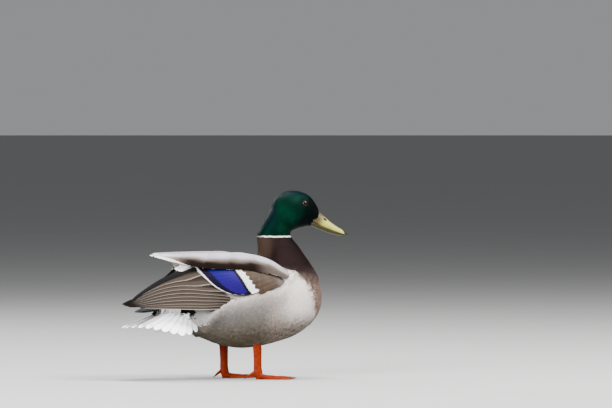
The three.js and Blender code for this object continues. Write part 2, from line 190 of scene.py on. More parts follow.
def face_outward(piece, weld=0.0):
    """Welds points closer than weld, in metres, and turns every face of a closed piece outward."""
    shape = bmesh.new()
    shape.from_mesh(piece.data)
    if weld:
        bmesh.ops.remove_doubles(shape, verts=shape.verts, dist=weld)
    bmesh.ops.recalc_face_normals(shape, faces=shape.faces)
    shape.to_mesh(piece.data)
    shape.free()
    piece.data.shade_smooth()


def finished(piece, finish, slot, *stands_for):
    """Gives a piece its material and its body, and hides the frame's nodes that it stands for; the slot is
    not used.
    """
    piece.data.materials.append(finish)
    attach(piece, "root")
    if stands_for:
        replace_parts(piece, *stands_for)
    return piece


def joined(name, *lumps):
    """One mesh from several lumps of (points, faces)."""
    points = np.concatenate([lump[0] for lump in lumps])
    faces, first = [], 0
    for lump in lumps:
        faces += [tuple(first + np.array(face)) for face in lump[1]]
        first += len(lump[0])
    return new_piece(name, points, faces)


# %% [markdown]
# The flesh is a row of rounded sections strung along the body, as a boat is built on its frames.
# Each section is a squared-off oval, and its height and width come from the curves. The same
# forms shape the solids of the frame, so the skin stays inside them.


# %% Bodies from rounded sections
def around(count):
    """Even steps round a full turn."""
    return np.linspace(0, 2 * math.pi, count, endpoint=False)


def unit(ways):
    """The same directions, each one unit long."""
    return ways / np.linalg.norm(ways, axis=-1, keepdims=True)


def signed_power(value, exponent):
    return np.sign(value) * np.abs(value) ** exponent


def rounded_end(run, length):
    if not length:
        return np.ones_like(run)
    return np.where(run < length, np.sqrt(np.clip(1 - (1 - run / length) ** 2, 1e-4, 1)), 1.0)


def body(axis, start_at, end_at, low, high, half, full=0.5, square=2.2, start=0, end=0, rings=40, sides=40):
    """A closed body of oval sections square to x or to z, from start_at to end_at."""
    at = start_at + (end_at - start_at) * (1 - np.cos(np.linspace(0, math.pi, rings))) / 2
    keep = (rounded_end(at - start_at, start) * rounded_end(end_at - at, end))[:, None]
    at = at[:, None]
    middle = (low(at) + high(at)) / 2
    reach = (high(at) - low(at)) / 2 * keep
    widest = middle + reach * (2 * full - 1)
    angle = around(sides)[None, :]
    rise = signed_power(np.sin(angle), 2 / square)
    across = half(at) * keep * signed_power(np.cos(angle), 2 / square)
    along = widest + rise * np.where(rise > 0, middle + reach - widest, widest - middle + reach)
    at = at + 0 * along
    points = np.stack([at, across, along] if axis == "x" else [along, across, at], axis=-1)
    return closed_tube(points)


def closed_tube(rings):
    """Points and faces of a tube over rings of points, closed by a point at each end."""
    count, sides = rings.shape[:2]
    points = np.concatenate([rings[0].mean(0)[None], rings.reshape(-1, 3), rings[-1].mean(0)[None]])
    faces = []
    for j in range(sides):
        k = (j + 1) % sides
        faces.append((0, 1 + k, 1 + j))
        for i in range(count - 1):
            a = 1 + i * sides
            faces.append((a + j, a + k, a + sides + k, a + sides + j))
        last = 1 + (count - 1) * sides
        faces.append((len(points) - 1, last + j, last + k))
    return points, faces


NECK_X = 52  # the upright line that the head turns on
HEAD_TURN = math.radians(14)  # to the bird's right


def turned(points, way=-1):
    """Turns the head to its right, and the neck below it less and less."""
    points = np.array(points, float)
    angle = way * HEAD_TURN * fade(160, 210, points[:, 2])
    x, y = points[:, 0] - NECK_X, points[:, 1].copy()
    points[:, 0] = NECK_X + x * np.cos(angle) - y * np.sin(angle)
    points[:, 1] = x * np.sin(angle) + y * np.cos(angle)
    return points


def straightened(points):
    """The x, y and z that points would have if the head looked straight ahead."""
    return turned(points, way=1).T


# %% The forms of the trunk, neck and head
trunk_form = dict(
    axis="x", start_at=-136, end_at=127, full=0.47, square=2.25, start=10, end=62,
    low=through((-136, 94), (-120, 89), (-100, 81), (-78, 70), (-55, 58.5), (-27, 49.5), (5, 45.5),
                (45, 52), (80, 60), (127, 70)),
    high=through((-136, 105), (-120, 116), (-100, 132), (-84, 146), (-50, 168), (-15, 179),
                 (30, 181), (70, 176), (127, 170)),
    half=through((-136, 11), (-120, 18), (-100, 29), (-84, 38), (-50, 57), (-15, 65.5), (25, 66.5),
                 (65, 62), (127, 56)),
)
neck_form = dict(
    axis="z", start_at=112, end_at=266, square=2.1, start=14, end=14,
    low=through((112, 20), (150, 14), (172, 24), (186, 29), (200, 28.5), (213, 26.5), (222, 31),
                (236, 38), (266, 56)),
    high=through((112, 112), (128, 121), (140, 124), (152, 122.5), (172, 109.5), (186, 99.5),
                 (200, 89.5), (213, 79.5), (222, 79), (266, 90)),
    half=through((112, 36), (150, 41), (172, 37.5), (186, 30), (200, 23.5), (213, 20.5), (236, 20),
                 (266, 16)),
)
head_form = dict(
    axis="x", start_at=49, end_at=122, full=0.44, square=2.15, start=7, end=3,
    low=through((49, 246), (58, 230), (68, 222), (80, 220.5), (92, 224.5), (104, 227), (112, 228),
                (124, 233)),
    high=through((49, 263), (58, 272.5), (68, 278.7), (78, 281), (88, 280.8), (98, 278.4),
                 (106, 274), (113, 266.5), (124, 249)),
    half=through((49, 9), (58, 15.5), (70, 19), (82, 19.6), (92, 18.4), (102, 15.6), (111, 12.6),
                 (118, 10.6), (124, 9.5)),
)
LEGS = {"right": (15, -33, 2), "left": (-15, 33, 3)}  # x and y of each leg, and how far it toes out


def limb(stations, sides=20):
    """A tube of oval section through [x, y, z, half width, half depth] stations."""
    stations = np.array(stations, float)
    place = stations[:, :3]
    ahead = unit(np.gradient(place, axis=0))
    level = np.stack([-ahead[:, 1], ahead[:, 0], 0 * ahead[:, 0]], 1)
    side = np.where(np.abs(ahead[:, 2:]) > 0.7, (0.0, 1.0, 0.0), level)
    side = unit(side - ahead * np.sum(side * ahead, 1)[:, None])
    up = np.cross(ahead, side)
    angle = around(sides)[None, :, None]
    wide, deep = stations[:, 3, None, None], stations[:, 4, None, None]
    across = side[:, None] * wide * np.cos(angle)
    return closed_tube(place[:, None] + across + up[:, None] * deep * np.sin(angle))


def thigh(x, y):
    return limb([
        (x - 8, y * 0.9, 84, 12, 14), (x - 5, y * 0.94, 70, 11, 13), (x - 1, y, 59, 7.6, 9.6),
        (x, y, 53.5, 5.8, 7.4), (x, y, 50.5, 5, 6.4),
    ])


# %% [markdown]
# The folded wings stand a little proud of the body, and the flank's long feathers reach up over
# their lower edges. So the flesh has a soft swelling along each flank, which starts from the
# body's own side below and is level with the wing's face where the two meet.

# %% The wing's face and the flank's swelling
wing_high = through((-204, 174), (-140, 184), (-100, 187), (-40, 188), (20, 182), (76, 158))
wing_half = through((-204, 26), (-150, 43), (-110, 54), (-70, 63), (-30, 68.5), (10, 69.5), (45, 66.5),
                    (76, 57))


def wing_reach(x, z):
    """How far from the middle the wing's face lies, seen from the side at x, z."""
    keep = rounded_end(76 - x, 20)
    middle, reach = (48 + wing_high(x)) / 2, (wing_high(x) - 48) / 2
    rise = np.clip(np.abs(z - middle) / (reach * keep), 0, 0.995)
    return wing_half(x) * keep * (1 - rise**2.5) ** 0.4


def trunk_reach(x, z):
    """How far from the middle the trunk's side lies at x, z."""
    keep = rounded_end(127 - x, 62)
    low, high = trunk_form["low"](x), trunk_form["high"](x)
    reach = (high - low) / 2 * keep
    rise = np.clip(np.abs(z - (low + high) / 2 + 0.06 * reach) / reach, 0, 0.995)
    return trunk_form["half"](x) * keep * (1 - rise**2.25) ** (1 / 2.25)


flank_top = through((-70, 99), (-64, 104), (-54, 113), (-43, 120.5), (-28, 124.5), (-12, 127), (1, 131),
                    (14, 135), (38, 135.5), (46, 139.5), (60, 150))


def flank_swelling(side):
    x = np.linspace(-72, 78, 70)[:, None]
    down = np.linspace(0, 1, 30)[None, :]
    z = flank_top(x) - 38 * down
    risen = fade(1, 0.12, down) * fade(-72, -58, x) * fade(70, 40, x)
    proud = 0.8 + 1.8 * fade(0, 0.3, down)
    outer = trunk_reach(x, z) - 0.5 + (wing_reach(x, z) + proud - trunk_reach(x, z)) * risen
    x = x + 0 * down
    face = np.stack([x, side * outer, z], -1)
    behind = np.stack([x, side * np.maximum(outer - 9, 0.1), z - 1.5], -1)[:, ::-1]
    return closed_tube(np.concatenate([face, behind], 1))


def shoulder_swelling(side):
    """A soft pad before the wing's bend, into which the shoulder's roof sinks."""
    return limb([(46, side * 55, 139, 3, 5), (54, side * 55, 143, 5, 7), (62, side * 51, 149, 6.5, 8),
                 (69, side * 45, 155, 6.5, 8), (74, side * 38, 160, 4, 5)])


upright = [body(**form) for form in (neck_form, head_form)]
lumps = [
    body(**trunk_form, rings=60, sides=56),
    *[(turned(points), faces) for points, faces in upright],
    *[thigh(x, y) for x, y, toe_out in LEGS.values()],
    *[swelling(side) for side in (-1, 1) for swelling in (flank_swelling, shoulder_swelling)],
]
print("flesh is built of", len(lumps), "lumps")

# %% [markdown]
# The lumps overlap, so their seams would show. A voxel remesh wraps all of them in one even net,
# as if they had been dipped in wax, and a light smoothing takes away the creases. Then the skin
# is drawn in by the depth of the coat that will cover it: a millimetre on the face, more on the
# flank and back.


# %% One skin
def coat_depth(p):
    """How deep the feathers are at each point, in millimetres."""
    head = fade(205, 222, p[:, 2])
    muzzle = fade(96, 110, straightened(p)[0]) * head
    flank = 2.6 + 0.8 * fade(40, -20, p[:, 0]) * fade(60, 90, p[:, 2])
    legs = fade(58, 50, p[:, 2])
    return mix(mix(mix(flank, 1.2, head), 0.7, muzzle), 1.5, legs)


skin = joined("skin", *lumps)
wrap(skin, 1.9, 10)
outer = points_of(skin)
inward = coat_depth(outer)
under_roof = fade(-60, -40, outer[:, 0]) * fade(52, 38, outer[:, 0]) * fade(150, 162, outer[:, 2])
under_roof = under_roof * fade(20, 26, np.abs(outer[:, 1])) * fade(200, 190, outer[:, 2])
move_points(skin, outer - kept_in(skin.data, "normal") * (inward + 5 * under_roof)[:, None])
print("the skin has", len(skin.data.polygons), "faces")

# %% [markdown]
# The wings, shoulders and tail already stand at their right places in the frame. Thin copies of
# them, drawn in by a little, become the beds that the big feathers lie on. What the feathers
# drape over is the skin and these beds together.


# %% Beds under the wings and tail
def bed(name, node, draw_in):
    """A copy of a node, welded, made finer and drawn in along its normals."""
    made = new_object(name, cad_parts[node].data.copy())
    face_outward(made, weld=1e-6)
    wrap(made, 1.2, 4)
    move_points(made, points_of(made) - kept_in(made.data, "normal") * draw_in)
    return made


SIDES = {"right": -1, "left": 1}
beds = {}
for name in SIDES:
    for node, title, draw_in in (("wing_", "wing_bed_", 0.5), ("primaries_", "flight_bed_", 0.6),
                                 ("tertials_", "shoulder_bed_", 0.5)):
        beds[node + name] = bed(title + name, node + name, draw_in)
beds["tail"] = bed("tail_bed", "tail", 0.4)


def touch_tree(*pieces):
    """A tree for finding the nearest point or the first hit on several pieces, in millimetres."""
    points, faces, first = [], [], 0
    for piece in pieces:
        points += points_of(piece).tolist()
        faces += [tuple(first + v for v in polygon.vertices) for polygon in piece.data.polygons]
        first = len(points)
    return BVHTree.FromPolygons(points, faces)


beds_tree = touch_tree(*beds.values())
drape_tree = touch_tree(skin, *beds.values())
skin_tree = touch_tree(skin)


def nearest(tree, points):
    """The nearest point on the tree to each of many, with the way out of the surface there."""
    found = [tree.find_nearest(p) for p in np.asarray(points).tolist()]
    return np.array([f[0] for f in found]), np.array([f[1] for f in found])


print("beds:", ", ".join(beds))

# %% [markdown]
# Each feather needs to know which way to lie. On a bird they run from the bill back over the head,
# down the neck and along the body to the tail. A handful of places with a known direction is
# enough: any other place takes a blend of them, the nearer ones counting most, and the result is
# laid flat on the skin.

# %% The lie of the coat
LIE = np.array([  # x, z, then the way the feathers point, forward and up
    (113, 245, -1, 0.25), (104, 262, -1, 0.2), (88, 281, -1, -0.05), (66, 277, -0.85, -0.5),
    (50, 255, -0.3, -0.95), (92, 252, -0.95, -0.25), (108, 232, -0.95, -0.2), (88, 232, -0.8, -0.6),
    (70, 240, -0.6, -0.8), (84, 220, -0.35, -0.9), (82, 205, 0.1, -1), (40, 208, -0.25, -0.95),
    (98, 180, 0.2, -1), (60, 185, -0.2, -1), (30, 186, -0.8, -0.5), (118, 150, 0.1, -1),
    (90, 150, -0.5, -0.85), (122, 115, -0.15, -1), (108, 82, -0.75, -0.65), (60, 165, -0.8, -0.6),
    (30, 178, -1, -0.1), (60, 122, -0.97, -0.2), (36, 134, -1, -0.05), (20, 105, -1, 0.0),
    (20, 132, -1, -0.1), (0, 126, -1, -0.3), (-20, 119, -1, -0.28), (-44, 112, -0.95, -0.5),
    (-60, 102, -0.9, -0.6), (0, 95, -1, 0.05), (40, 60, -1, -0.1), (70, 62, -1, -0.3),
    (0, 48, -1, 0), (-50, 60, -1, 0.25),
    (-35, 85, -1, 0.05), (-76, 104, -1, -0.05), (-90, 85, -1, 0.25), (-60, 168, -1, -0.15),
    (-100, 128, -1, -0.35), (-125, 100, -1, -0.3),
])


def lie_at(points, normals):
    """The way the coat lies at each point, flat on the surface there."""
    x, _, z = straightened(points)
    apart = (x[:, None] - LIE[None, :, 0]) ** 2 + (z[:, None] - LIE[None, :, 1]) ** 2
    weight = 1 / (apart + 40) ** 1.5
    ahead = weight @ LIE[:, 2:] / weight.sum(1)[:, None]
    way = np.stack([ahead[:, 0], 0 * ahead[:, 0], ahead[:, 1]], 1)
    angle = -HEAD_TURN * fade(160, 210, points[:, 2])
    way = np.stack([way[:, 0] * np.cos(angle), way[:, 0] * np.sin(angle), way[:, 2]], 1)
    leg = fade(57, 53, points[:, 2])[:, None]
    way = way * (1 - leg) + np.array([-0.1, 0, -1]) * leg
    return unit(way - normals * np.sum(way * normals, 1)[:, None])


print("the coat's lie is set at", len(LIE), "places")

# %% [markdown]
# The colours of a drake follow strict borders: a green head, a thin white collar, a brown breast,
# grey sides, a black rump. They could be painted into an image, but a rule that says what colour
# a place has is sharper at any size, and the skin and each feather's root can both ask it.

# %% The colours of the plumage
DYES = {}


def add_dyes(table):
    DYES.update((name, np.array(rgb)) for name, rgb in table.items())


def dyes(*names):
    return [DYES[name] for name in names]


add_dyes({
    "bottle green": (0.0003, 0.0054, 0.0035),
    # the head's lighter green, blue and near-black are painted sheen and shade of its iridescent gloss
    "painted green sheen": (0.0002, 0.0154, 0.0070),
    "painted blue sheen": (0.0006, 0.0038, 0.0051),
    "painted black shade": (0.0008, 0.0012, 0.0014),
    "purple brown": (0.0070, 0.0034, 0.0036),
    "dark brown": (0.0046, 0.0031, 0.0034),
    "back brown": (0.0300, 0.0193, 0.0135),
    "chestnut": (0.0640, 0.0330, 0.0210),
    "pale fringe": (0.260, 0.195, 0.165),
    "flank grey": (0.365, 0.333, 0.310),
    # the belly's dark colour is painted shade under the body
    "shaded belly grey": (0.0560, 0.0440, 0.0270),
    "rear white": (0.250, 0.240, 0.228),
    "mantle brown": (0.0896, 0.0640, 0.0480),
    "rump black": (0.0022, 0.0028, 0.0033),
    "tail white": (0.90, 0.90, 0.92),
})


def mottle(p, size, seed=0):
    """An even, random-looking wave between 0 and 1 with patches about one size across."""
    turn = np.random.default_rng(seed).normal(size=(7, 3))
    turn /= np.linalg.norm(turn, axis=1)[:, None]
    shift = np.arange(7) * 1.9 + seed
    waves = np.sin(p @ turn.T * (2 * math.pi / size) * np.linspace(0.7, 1.5, 7) + shift)
    return 0.5 + 0.5 * np.clip(waves.sum(1) / 2.6, -1, 1)


# The edge between the grey side and the brown breast: how far forward it lies at each height.
breast_border = through((70, 112), (95, 110), (116, 103), (142, 95), (164, 73), (176, 50), (190, 12))


def plumage(p):
    """The colour of the coat at points in millimetres."""
    x, y, z = straightened(p)
    side = np.abs(y)
    cloud = mottle(p, 26, 1)
    flecks = mottle(p, 6, 2)
    dashes = mottle(p * (0.38, 1, 1), 6, 9)
    # the head: bottle green, with its iridescence painted in by place: a painted green sheen on the cheek, a
    # painted blue sheen on crown and nape, and painted near-black shade on the lores and lower face
    cheek = np.exp(-(((x - 77) / 15) ** 2) - ((z - 247 + (x - 77) * 0.55) / 12) ** 2)
    cheek = np.maximum(cheek, 0.75 * np.exp(-(((x - 64) / 9) ** 2) - ((z - 228) / 12) ** 2))
    cheek = np.maximum(cheek, 0.6 * np.exp(-(((x - 88) / 9) ** 2) - ((z - 268) / 6) ** 2))
    head = mix(DYES["bottle green"], DYES["painted green sheen"], cheek * (0.65 + 0.5 * flecks) * fade(4, 12, side))
    crown = fade(264, 275, z) * 0.7
    nape = fade(64, 52, x) * fade(222, 236, z)
    head = mix(head, DYES["painted blue sheen"], np.clip(np.maximum(crown, nape) * (0.5 + 0.8 * cloud), 0, 1))
    lores = fade(94, 104, x - 0.25 * (z - 245)) + 0.8 * fade(84, 94, x) * fade(244, 234, z)
    head = mix(head, DYES["painted black shade"], np.clip(lores, 0, 1))
    # the neck and the breast
    front = fade(62, 80, x) * fade(186, 206, z)
    breast = mix(DYES["purple brown"], DYES["dark brown"], np.clip(front + 0.3 * flecks, 0, 1))
    breast = mix(breast, DYES["chestnut"], fade(166, 130, z) * (0.3 + 0.7 * flecks))
    breast = mix(breast, DYES["back brown"], 0.9 * fade(56, 34, x + 0.15 * (200 - z)) * fade(178, 190, z))
    # the grey body: made darker toward the bottom and lighter at the front, as painted shade and painted
    # light; the dark belly colour is painted shade, broken by streaks
    grey = DYES["flank grey"] * (1 - 0.73 * fade(144, 90, z - 0.2 * x) * fade(80, 30, x))[:, None]
    lower = fade(104, 56, z - 0.12 * x) * fade(-95, -50, x)
    streaked = 0.35 + 1.1 * (0.35 * flecks + 0.65 * dashes)
    grey = mix(grey, DYES["shaded belly grey"], np.clip(lower * streaked, 0, 1))
    grey = grey * (1 + 0.35 * fade(40, 85, x) * fade(80, 110, z))[:, None]
    rear = fade(-54, -62, x + 0.35 * (92 - z)) * fade(68, 80, z)
    grey = mix(grey, DYES["rear white"], rear)
    # a painted shadow in the fold at the flank's rear lower edge
    crease_shadow = np.exp(-(((x + 50 + 0.35 * (92 - z)) / 4.5) ** 2)) * fade(70, 78, z) * fade(102, 90, z)
    grey = mix(grey, DYES["shaded belly grey"], 0.4 * crease_shadow)
    mantle = fade(46, 28, side) * fade(160, 172, z)
    grey = mix(grey, DYES["mantle brown"], np.clip(mantle * (0.8 + 0.4 * flecks), 0, 1))
    # black over and under the root of the tail
    over = fade(-58, -78, x) * fade(112, 124, z + 0.25 * (x + 80)) + fade(-84, -92, x)
    under = fade(-62, -74, x) * fade(78, 70, z + 0.4 * (x + 74)) * fade(26, 18, side)
    grey = mix(grey, DYES["rump black"], np.clip(over + under, 0, 1))
    # the sides of the tail's root are as white as the tail, with a few black tips hanging over them
    white_ends = through((69, -93), (90, -78), (102, -73), (114, -72))
    flare = fade(1.5, -1.5, x - white_ends(z)) * fade(9, 16, side) * fade(118, 110, z) * fade(66, 72, z)
    grey = mix(grey, DYES["tail white"], flare)
    grey = mix(grey, DYES["rump black"], fade(-67, -72, x) * fade(95, 100, z + 8 * (dashes - 0.5)))
    # where brown breast meets grey, and where the collar parts the neck from the head
    coat = mix(grey, breast, fade(-5, 5, x - breast_border(z) + 5 * (flecks - 0.5)))
    wander = 0.8 * np.sin(x / 6) + 0.6 * (flecks - 0.5)
    return mix(coat, head, fade(212.6, 213.4, z + wander))


print(len(DYES), "dyes mixed; a point on the cheek is", plumage(np.array([[77.0, -19.0, 245.0]])).round(3))

# %% [markdown]
# A material is a tree of nodes. Written out node by node it is hard to read, so one small class
# wraps a socket: adding or multiplying two of them adds a Math node, and its node method makes
# any other node from its type, its settings and its inputs.


# %% Writing materials as sums
class Thread:
    """A socket of a material's tree that sums can be written with."""

    def __init__(self, tree, socket=None):
        self.tree = tree
        self.socket = socket

    def node(self, kind, settings, inputs=None, output=0):
        made = self.tree.nodes.new(kind)
        for name, value in settings.items():
            setattr(made, name, value)
        for name, value in (inputs or {}).items():
            if isinstance(value, Thread):
                self.tree.links.new(value.socket, made.inputs[name])
            else:
                made.inputs[name].default_value = value
        return Thread(self.tree, made.outputs[output])

    def maths(self, operation, a, b):
        return self.node("ShaderNodeMath", {"operation": operation}, {0: a, 1: b})

    def __add__(self, other):
        return self.maths("ADD", self, other)

    def __sub__(self, other):
        return self.maths("SUBTRACT", self, other)

    def __mul__(self, other):
        return self.maths("MULTIPLY", self, other)

    def kept(self, name, output):
        """What is kept on the piece's points: output 0 as a colour, 1 as a vector."""
        return self.node("ShaderNodeAttribute", {"attribute_name": name}, output=output)

    def place(self):
        """Where the point is, in the object's own metres."""
        return self.node("ShaderNodeTexCoord", {}, output=3)

    def split(self):
        parts = self.node("ShaderNodeSeparateXYZ", {}, {"Vector": self})
        return [Thread(self.tree, socket) for socket in parts.socket.node.outputs]

    def vector(self, *parts):
        return self.node("ShaderNodeCombineXYZ", {}, dict(enumerate(parts)))

    def tinted(self):
        """The tint kept on the points, made lighter or darker by this number."""
        inputs = {0: self.kept("tint", 0), "Scale": self}
        return self.node("ShaderNodeVectorMath", {"operation": "SCALE"}, inputs)

    def bump(self, strength, distance):
        inputs = {"Height": self, "Strength": strength, "Distance": distance}
        return self.node("ShaderNodeBump", {}, inputs)

    def between(self, low, high, to_low=0.0, to_high=1.0):
        """Takes low..high to to_low..to_high, and stops at both ends."""
        inputs = {"Value": self, 1: low, 2: high, 3: to_low, 4: to_high}
        return self.node("ShaderNodeMapRange", {"interpolation_type": "SMOOTHSTEP"}, inputs)

    def noise(self, scale, detail=3.0):
        inputs = {"Vector": self, "Scale": scale, "Detail": detail, "Roughness": 0.55}
        return self.node("ShaderNodeTexNoise", {}, inputs)

    def blend(self, a, b):
        """Mixes two colours by this number."""
        return self.node("ShaderNodeMix", {"data_type": "RGBA"}, {0: self, 6: a, 7: b}, output=2)


def new_finish(name, **fixed):
    """A material, its tree's first thread and a way to plug threads into its shader."""
    material = bpy.data.materials.new(name)
    material.use_nodes = True
    tree = material.node_tree
    shader = tree.nodes["Principled BSDF"]
    for socket, value in fixed.items():
        shader.inputs[socket.replace("_", " ")].default_value = value

    def plug(**threads):
        for socket, thread in threads.items():
            tree.links.new(thread.socket, shader.inputs[socket.replace("_", " ")])

    return material, Thread(tree), plug


def grey(value):
    return (value, value, value, 1.0)


print("threads are ready")

# %% [markdown]
# A feather is a shaft with hundreds of fine barbs slanting off it. The colour comes from the
# rules above, kept on each point as "tint". The material adds what is finer than a mesh can
# carry: streaks along the barbs, and on the grey sides the thin dark waves that cross each
# feather. "vane" keeps how far across and along its own feather each point is.


# %% Plumage materials
COLLAR_LOW, COLLAR_TOP = 0.2111, 0.2135  # the white collar's edges above the floor, in metres
COLLAR_WHITE = (0.60, 0.59, 0.56, 1.0)


def plumage_finish(name, streaks, waves, roughness, gloss=0.08, **fixed):
    material, start, plug = new_finish(name, Roughness=roughness, Specular_IOR_Level=gloss, **fixed)
    across, along, chance = start.kept("vane", 1).split()
    across = start.maths("ABSOLUTE", across, 0.0)
    streak = start.vector(across * 9.0 + along * -16.0, chance * 40.0, along).noise(1.3, 2.0)
    shade = streak.between(0.3, 0.7, 1.0 - streaks, 1.0 + streaks)
    if waves:
        ripple = start.vector(along * 11.0 + across * 1.2 + chance * 5.0, across, chance)
        shade = shade * ripple.noise(1.0, 1.0).between(0.42, 0.56, 1.0 - waves, 1.0)
    place = start.place()
    x, _, z = place.split()
    height = z + (place.noise(160.0, 2.0) - 0.5) * 0.0022
    collar = height.between(COLLAR_LOW, COLLAR_LOW + 0.0005) * height.between(COLLAR_TOP, COLLAR_TOP - 0.0005)
    collar = collar * x.between(0.038, 0.048)
    plug(Base_Color=collar.blend(shade.tinted(), COLLAR_WHITE), Normal=streak.bump(0.25, 0.0004))
    return material


finishes = {
    "head": plumage_finish("glossy_green_feathers", 0.3, 0, 0.42, gloss=0.06,
                           Specular_Tint=(0.01, 0.42, 0.28, 1.0)),
    "breast": plumage_finish("brown_breast_feathers", 0.3, 0.15, 0.65, gloss=0.04,
                             Specular_Tint=(1.0, 0.75, 0.7, 1.0)),
    "body": plumage_finish("waved_grey_feathers", 0.08, 0.18, 0.75, gloss=0.06),
}
print("plumage materials:", ", ".join(m.name for m in finishes.values()))

# %% [markdown]
# Feather roots should be spread evenly but not in rows. Geometry Nodes has a tool for just that:
# Poisson disk scattering, which keeps every two roots at least one spacing apart. The tree takes
# the spacing and the seed as named inputs, so one tree serves all parts of the coat.


# %% Scattering the roots
def growing_tree(name, inputs, build):
    """A Geometry Nodes tree: build takes its first thread and its inputs', and gives its last one."""
    tree = bpy.data.node_groups.new(name, "GeometryNodeTree")
    for title, kind in inputs.items():
        tree.interface.new_socket(title, in_out="INPUT", socket_type="NodeSocket" + kind)
    tree.interface.new_socket("Made", in_out="OUTPUT", socket_type="NodeSocketGeometry")
    given = tree.nodes.new("NodeGroupInput")
    last = build(Thread(tree), *[Thread(tree, given.outputs[title]) for title in inputs])
    tree.links.new(last.socket, tree.nodes.new("NodeGroupOutput").inputs[0])
    return tree


def grown(tree, mesh, **values):
    """Points, in millimetres, and faces that a tree grows on a mesh. Inputs are set by identifier."""
    holder = new_object("holder", mesh)
    modifier = holder.modifiers.new("growth", "NODES")
    modifier.node_group = tree
    for item in tree.interface.items_tree:
        if item.in_out == "INPUT" and item.name in values:
            modifier[item.identifier] = values[item.name]
    made = evaluated(holder)
    points, faces = from_frame(kept_in(made, "co")), [tuple(polygon.vertices) for polygon in made.polygons]
    bpy.data.objects.remove(holder)
    bpy.data.meshes.remove(made)
    return points, faces


def scattered(start, on, spacing, seed):
    inputs = {"Mesh": on, "Distance Min": spacing, "Density Max": 4e6, "Seed": seed}
    spread = start.node("GeometryNodeDistributePointsOnFaces", {"distribute_method": "POISSON"}, inputs)
    return start.node("GeometryNodePointsToVertices", {}, {"Points": spread})


roots_tree = growing_tree("scatter_roots", {"Skin": "Geometry", "Spacing": "Float", "Seed": "Int"}, scattered)


def scatter(spacing, seed):
    """Even roots over the whole skin, in millimetres, with the way out of the skin at each."""
    return nearest(skin_tree, grown(roots_tree, skin.data.copy(), Spacing=spacing / 1000, Seed=seed)[0])


print("roots", len(scatter(4.0, 1)[0]), "at 4 mm spacing")

# %% [markdown]
# One vane is a thin closed leaf: a point at the root, a few diamond-shaped sections and a point at
# the tip. Cloth-like strips with no thickness would be lighter, but they have no inside and show
# their backs. All vanes of a coat are laid at once: each point is moved along the lie, dropped on
# the surface below, and lifted a little more the nearer it is to the tip, so that every feather's
# tip covers the next one's root.

# %% Laying a coat of vanes
SPINE = np.array([  # the middle of the bird from tail to face, seen from the side
    (-136.0, 98), (-60, 112), (20, 115), (62, 140), (66, 180), (56, 214), (66, 246), (124, 250),
])


def unwrap(points):
    """Where each point falls on a flat map of the skin: along the body one way, round it the other."""
    x, y, z = straightened(points)
    place = np.stack([x, z], 1)
    best, along = np.full(len(x), np.inf), np.zeros(len(x))
    foot, heading, run = np.zeros((len(x), 2)), np.zeros((len(x), 2)), 0.0
    for a, b in zip(SPINE[:-1], SPINE[1:]):
        length = np.linalg.norm(b - a)
        share = np.clip((place - a) @ (b - a) / length**2, 0, 1)
        at = a + share[:, None] * (b - a)
        apart = np.linalg.norm(place - at, axis=1)
        closer = apart < best
        best[closer], along[closer] = apart[closer], run + share[closer] * length
        foot[closer], heading[closer] = at[closer], (b - a) / length
        run += length
    over = (place[:, 1] - foot[:, 1]) * heading[:, 0] - (place[:, 0] - foot[:, 0]) * heading[:, 1]
    turn = np.arctan2(y, over) / (2 * math.pi) + 0.5
    return np.stack([0.01 + 0.97 * along / run, 0.01 + 0.97 * turn], 1)


SHAPES = {  # (how far along, how wide) of each section of a vane
    "fine": ((0.35, 0.9), (0.74, 0.72)),
    "soft": ((0.25, 0.72), (0.55, 1.0), (0.80, 0.86), (0.94, 0.50)),
    "round": ((0.22, 0.62), (0.5, 0.97), (0.78, 0.95), (0.93, 0.62)),
}
PATCH = 0.003  # how large one vane's patch is on the flat map


UNRULY = 5.0  # how far the vanes stray from the coat's lie, in degrees
EVEN = {"fine": 0.02, "soft": 0.02, "round": 0.035}  # how much lighter or darker one vane is than the next
CAMBER = {"fine": 0.066, "soft": 0.066, "round": 0.12}  # how far a vane's edges bow down, in millimetres


